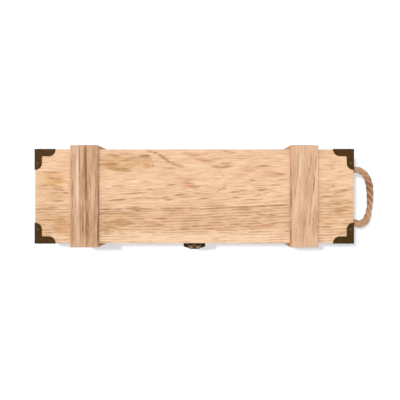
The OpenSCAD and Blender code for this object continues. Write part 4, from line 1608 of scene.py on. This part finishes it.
# Middle and width of what is painted lighter or darker, in mm from the hasp's middle and its pin: the two
# lobes, lightened as rubbed metal and as painted highlight, the painted shade in the recess between them, and a
# painted highlight, a glint, on the left shoulder
LIT_RUBBED_LOBE = (3.8, 2.1)
SHADE_BETWEEN = (0, 1.4)
SHADE_DEPTH = 1.2
GLINT_ACROSS = (-7.4, 1.3)
GLINT_DOWN = (4.5, 1.8)
# The top of the knuckle: how much lighter its middle is, how much darker its sides are, as painted shade, and
# where that begins, and how much of the lobes' painted light and shade its front takes, from where and over
# what length, in mm
TOP_LIGHTENED = 0.4
TOP_SHADE = 1.15
TOP_WIDTH = 1.6
FRONT_LOBE_SHARE = 0.9
FRONT_FROM = 1.0
FRONT_OVER = 0.8
# Sections cut across the knuckle on each side of its middle, 1 mm apart, to carry its painted lightening and
# shade
KNUCKLE_SECTIONS = 6


def bell(value, middle, width):
    """1 at the middle, falling smoothly to nothing on both sides."""
    return math.exp(-((value - middle) / width) ** 2)


def hasp_point(along, share):
    """A point of the hasp's sheet, in mm: how far down from the pin, and -1 to 1 across."""
    x = blend_table(HASP_HALF_WIDTHS, along)[0] * share
    kept = min(1.0, along / RAIL_FULL) * min(1.0, max(0.0, (RAIL_END - along) / RAIL_FADE))
    rail = bell(abs(share), RAIL_PLACE, RAIL_WIDTH) * kept
    lobe = bell(abs(share), LOBE_PLACE, LOBE_WIDTH) * bell(along, LOBE_DOWN, LOBE_LENGTH)
    rise = RAIL_HEIGHT * rail + LOBE_HEIGHT * lobe
    face = -HASP_KNUCKLE + HASP_SHEET / 2
    if along <= HASP_FLAT:
        return Vector((x, face - rise, -along))
    angle = (along - HASP_FLAT) / HASP_CURL
    reach = HASP_CURL - rise
    return Vector((x, face - HASP_CURL + reach * math.cos(angle), -HASP_FLAT - reach * math.sin(angle)))


def hasp_wear_light_and_shade(point):
    """Where the hasp is painted lighter and darker: its two lobes lighter above all, as rubbed metal and
    painted highlight, with a painted glint on its left shoulder, and painted shade between the lobes and on the
    sides of the knuckle's top."""
    across, along, out = point.x / MM, -point.z / MM, -point.y / MM
    lobes = bell(abs(across), *LIT_RUBBED_LOBE) - SHADE_DEPTH * bell(across, *SHADE_BETWEEN)
    if along < HASP_NECK_END:
        top = TOP_LIGHTENED - TOP_SHADE * min(1.0, abs(across) / TOP_WIDTH)
        front = min(1.0, max(0.0, (out - FRONT_FROM) / FRONT_OVER))
        return top + (FRONT_LOBE_SHARE * lobes - top) * front
    return lobes + bell(across, *GLINT_ACROSS) * bell(along, *GLINT_DOWN)


def paint(obj, name, rule):
    """Gives each point of the mesh its own value of that name, for its material to read."""
    values = obj.data.attributes.new(name, "FLOAT", "POINT")
    for vert in obj.data.vertices:
        values.data[vert.index].value = rule(vert.co)


def press_hasp():
    """The hasp: a pressed sheet with raised rails, a slot, two lobes and a curled lip, on its knuckle."""
    end = HASP_FLAT + HASP_CURL * math.radians(HASP_CURL_ANGLE)
    across, down = HASP_GRID
    deselect()
    bpy.ops.mesh.primitive_grid_add(x_subdivisions=across, y_subdivisions=down, size=2)
    sheet = bpy.context.object
    for vert in sheet.data.vertices:
        along = (1 - vert.co.y) / 2 * end
        vert.co = hasp_point(along, vert.co.x) * MM
    top, bottom, half = HASP_SLOT
    with edit_mode(sheet):
        pick(sheet, "faces", lambda m: top * MM < -m.z < bottom * MM and abs(m.x) < half * MM)
        bpy.ops.mesh.delete(type="FACE")
        bpy.ops.mesh.select_all(action="SELECT")
        bpy.ops.mesh.normals_make_consistent(inside=False)
    apply_modifier(sheet, "Sheet", "SOLIDIFY", thickness=HASP_SHEET * MM, offset=0)
    ease_by_angle(sheet, SHEET_EASE * MM)
    knuckle = rod("knuckle", (0, 0, 0), "X", HASP_KNUCKLE * MM, 2 * HASP_NECK * MM, sides=36)
    ease_by_angle(knuckle, KNUCKLE_EASE * MM)
    with edit_mode(knuckle):
        for x in range(-KNUCKLE_SECTIONS, KNUCKLE_SECTIONS + 1):
            bisect((x * MM, 0, 0), (1, 0, 0))
    return join("hasp_tongue", [sheet, knuckle])


# The clasp, in mm: the half width of the gap in its barrel, the play round the hasp's knuckle there, and the
# plates' corner radii; the hasp's turn at rest, in degrees; and the catch's lug, in mm, with the rounding of
# its nose as a share of its height
BARREL_GAP = 6.5
BARREL_PLAY = 0.3
CLASP_CORNER = 4
CATCH_CORNER = 5
HASP_REST = -8
LUG_HALF_WIDTH = 1.9
LUG_HEIGHT = 3.2
LUG_Z = 72
LUG_NOSE = 0.48


def build_clasp_plate(wall, axis):
    """The lid's plate, with a barrel round the pin on both sides of the hasp."""
    low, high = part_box("clasp_plate")
    barrel = axis.z - low.z
    half_gap = BARREL_GAP * MM
    edges = ((low.x, wall - PLATE_SHEET * MM, axis.z), (high.x, wall, high.z))
    plate = rounded_plate("plate", *edges, CLASP_CORNER * MM, True)
    cut_away(plate, rod("room", axis, "X", barrel + BARREL_PLAY * MM, 2 * half_gap, sides=48))
    ease_by_angle(plate, PLATE_EASE * MM)
    parts = [plate]
    for sign in (-1, 1):
        middle = (sign * (high.x + half_gap) / 2, axis.y, axis.z)
        knuckle = rod("knuckle", middle, "X", barrel, high.x - half_gap, sides=36)
        ease_by_angle(knuckle, BARREL_EASE * MM)
        parts.append(knuckle)
    clasp = join("clasp_front_plate", parts)
    # The barrel and the foot of the plate beside it are painted darker, as painted shade.
    paint(clasp, "handled", lambda point: -0.6 if point.z < axis.z + barrel else 0.0)
    finish_fitting(clasp, "lid", "clasp_plate")


def build_lug(tip_y, wall):
    """The catch's lug, with a rounded nose that the hasp's slot snaps over."""
    half_width, half_height, middle_z = LUG_HALF_WIDTH * MM, LUG_HEIGHT / 2 * MM, LUG_Z * MM
    edges = ((-half_width, tip_y, middle_z - half_height), (half_width, wall, middle_z + half_height))
    lug = block("lug", *edges)
    with edit_mode(lug, "EDGE"):
        pick(lug, "edges", lambda m: abs(m.y - tip_y) < NEAR and abs(m.x) < NEAR)
        bpy.ops.mesh.bevel(offset=LUG_HEIGHT * LUG_NOSE * MM, segments=6, affect="EDGES")
    ease_by_angle(lug, PLATE_EASE * MM)
    return lug


def build_catch(wall):
    """The tray's plate with its lug."""
    low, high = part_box("catch_plate")
    edges = ((low.x, wall - PLATE_SHEET * MM, low.z), (high.x, wall, high.z))
    plate = rounded_plate("catch", *edges, CATCH_CORNER * MM, False)
    ease_by_angle(plate, PLATE_EASE * MM)
    catch = join("catch_front_plate", [plate, build_lug(low.y, wall)])
    finish_fitting(catch, "tray", "catch_plate")


def build_clasp():
    """The clasp plate with its barrel, the catch plate with its lug, the pin and the hasp."""
    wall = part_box("front_wall")[0].y
    low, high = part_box("clasp_pin")
    axis = (low + high) / 2
    build_clasp_plate(wall, axis)
    build_catch(wall)
    pin = rod("clasp_rod", axis, "X", (high.z - low.z) / 2, high.x - low.x, sides=24)
    ease_by_angle(pin, PLATE_EASE * MM)
    finish_fitting(pin, "lid", "clasp_pin")
    hasp = press_hasp()
    # Rubbed metal, painted highlights and painted shade on the hasp.
    paint(hasp, "handled", hasp_wear_light_and_shade)
    hasp.data.transform(Matrix.Translation(axis) @ Matrix.Rotation(math.radians(HASP_REST), 4, "X"))
    finish_fitting(hasp, "hasp", "hasp", bronze("Handled Bronze", 0.45))


class PieceOperator:
    bl_options = {"REGISTER", "UNDO"}

    def execute(self, context):
        self.make()
        return {"FINISHED"}


class WINEBOX_OT_stage(PieceOperator, Operator):
    """Set up the camera, the pale floor and the lights"""
    bl_idname = "winebox.stage"
    bl_label = "Stage"
    make = staticmethod(build_stage)


class WINEBOX_OT_rope(PieceOperator, Operator):
    """Lay up the rope handle and tie its two stopper knots"""
    bl_idname = "winebox.rope"
    bl_label = "Rope Handle"
    make = staticmethod(build_rope)


class WINEBOX_OT_case(PieceOperator, Operator):
    """Cut and ease the boards of the tray and the lid"""
    bl_idname = "winebox.case"
    bl_label = "Tray and Lid"
    make = staticmethod(build_case)


class WINEBOX_OT_battens(PieceOperator, Operator):
    """Fit the battens across the lid and down the sides"""
    bl_idname = "winebox.battens"
    bl_label = "Battens"
    make = staticmethod(build_battens)


class WINEBOX_OT_caps(PieceOperator, Operator):
    """Fold the eight corner caps"""
    bl_idname = "winebox.caps"
    bl_label = "Corner Caps"
    make = staticmethod(build_caps)


class WINEBOX_OT_tacks(PieceOperator, Operator):
    """Turn the tacks and set them in the caps and plates"""
    bl_idname = "winebox.tacks"
    bl_label = "Tacks"
    make = staticmethod(build_tacks)


class WINEBOX_OT_hinges(PieceOperator, Operator):
    """Finish the two butt hinges"""
    bl_idname = "winebox.hinges"
    bl_label = "Hinges"
    make = staticmethod(build_hinges)


class WINEBOX_OT_clasp(PieceOperator, Operator):
    """Press the clasp, its catch and its hasp"""
    bl_idname = "winebox.clasp"
    bl_label = "Clasp"
    make = staticmethod(build_clasp)


PIECE_OPERATORS = (
    WINEBOX_OT_stage, WINEBOX_OT_rope, WINEBOX_OT_case, WINEBOX_OT_battens,
    WINEBOX_OT_caps, WINEBOX_OT_tacks, WINEBOX_OT_hinges, WINEBOX_OT_clasp,
)
SETTING_GROUPS = {
    "timber": WineBoxTimberSettings,
    "bronze": WineBoxBronzeSettings,
    "rope": WineBoxRopeSettings,
    "stage": WineBoxStageSettings,
}


class WINEBOX_PT_build(Panel):
    """Sizes, colours and building steps of the wine box"""
    bl_label = "Wine Box"
    bl_idname = "WINEBOX_PT_build"
    bl_space_type = "VIEW_3D"
    bl_region_type = "UI"
    bl_category = "Wine Box"

    def draw(self, context):
        for part, group in SETTING_GROUPS.items():
            column = self.layout.column(heading=part.title())
            for name in group.__annotations__:
                column.prop(settings(part), name)
        for piece in PIECE_OPERATORS:
            self.layout.operator(piece.bl_idname)


def register():
    for group in SETTING_GROUPS.values():
        bpy.utils.register_class(group)
    for part, group in SETTING_GROUPS.items():
        setattr(bpy.types.Scene, "wine_box_" + part, PointerProperty(type=group))
    for piece in PIECE_OPERATORS:
        bpy.utils.register_class(piece)
    bpy.utils.register_class(WINEBOX_PT_build)


def unregister():
    bpy.utils.unregister_class(WINEBOX_PT_build)
    for piece in reversed(PIECE_OPERATORS):
        bpy.utils.unregister_class(piece)
    for part, group in SETTING_GROUPS.items():
        delattr(bpy.types.Scene, "wine_box_" + part)
        bpy.utils.unregister_class(group)


def main():
    register()
    bpy.ops.winebox.stage()
    bpy.ops.winebox.rope()
    bpy.ops.winebox.case()
    bpy.ops.winebox.battens()
    bpy.ops.winebox.caps()
    bpy.ops.winebox.tacks()
    bpy.ops.winebox.hinges()
    bpy.ops.winebox.clasp()


if __name__ == "__main__":
    main()
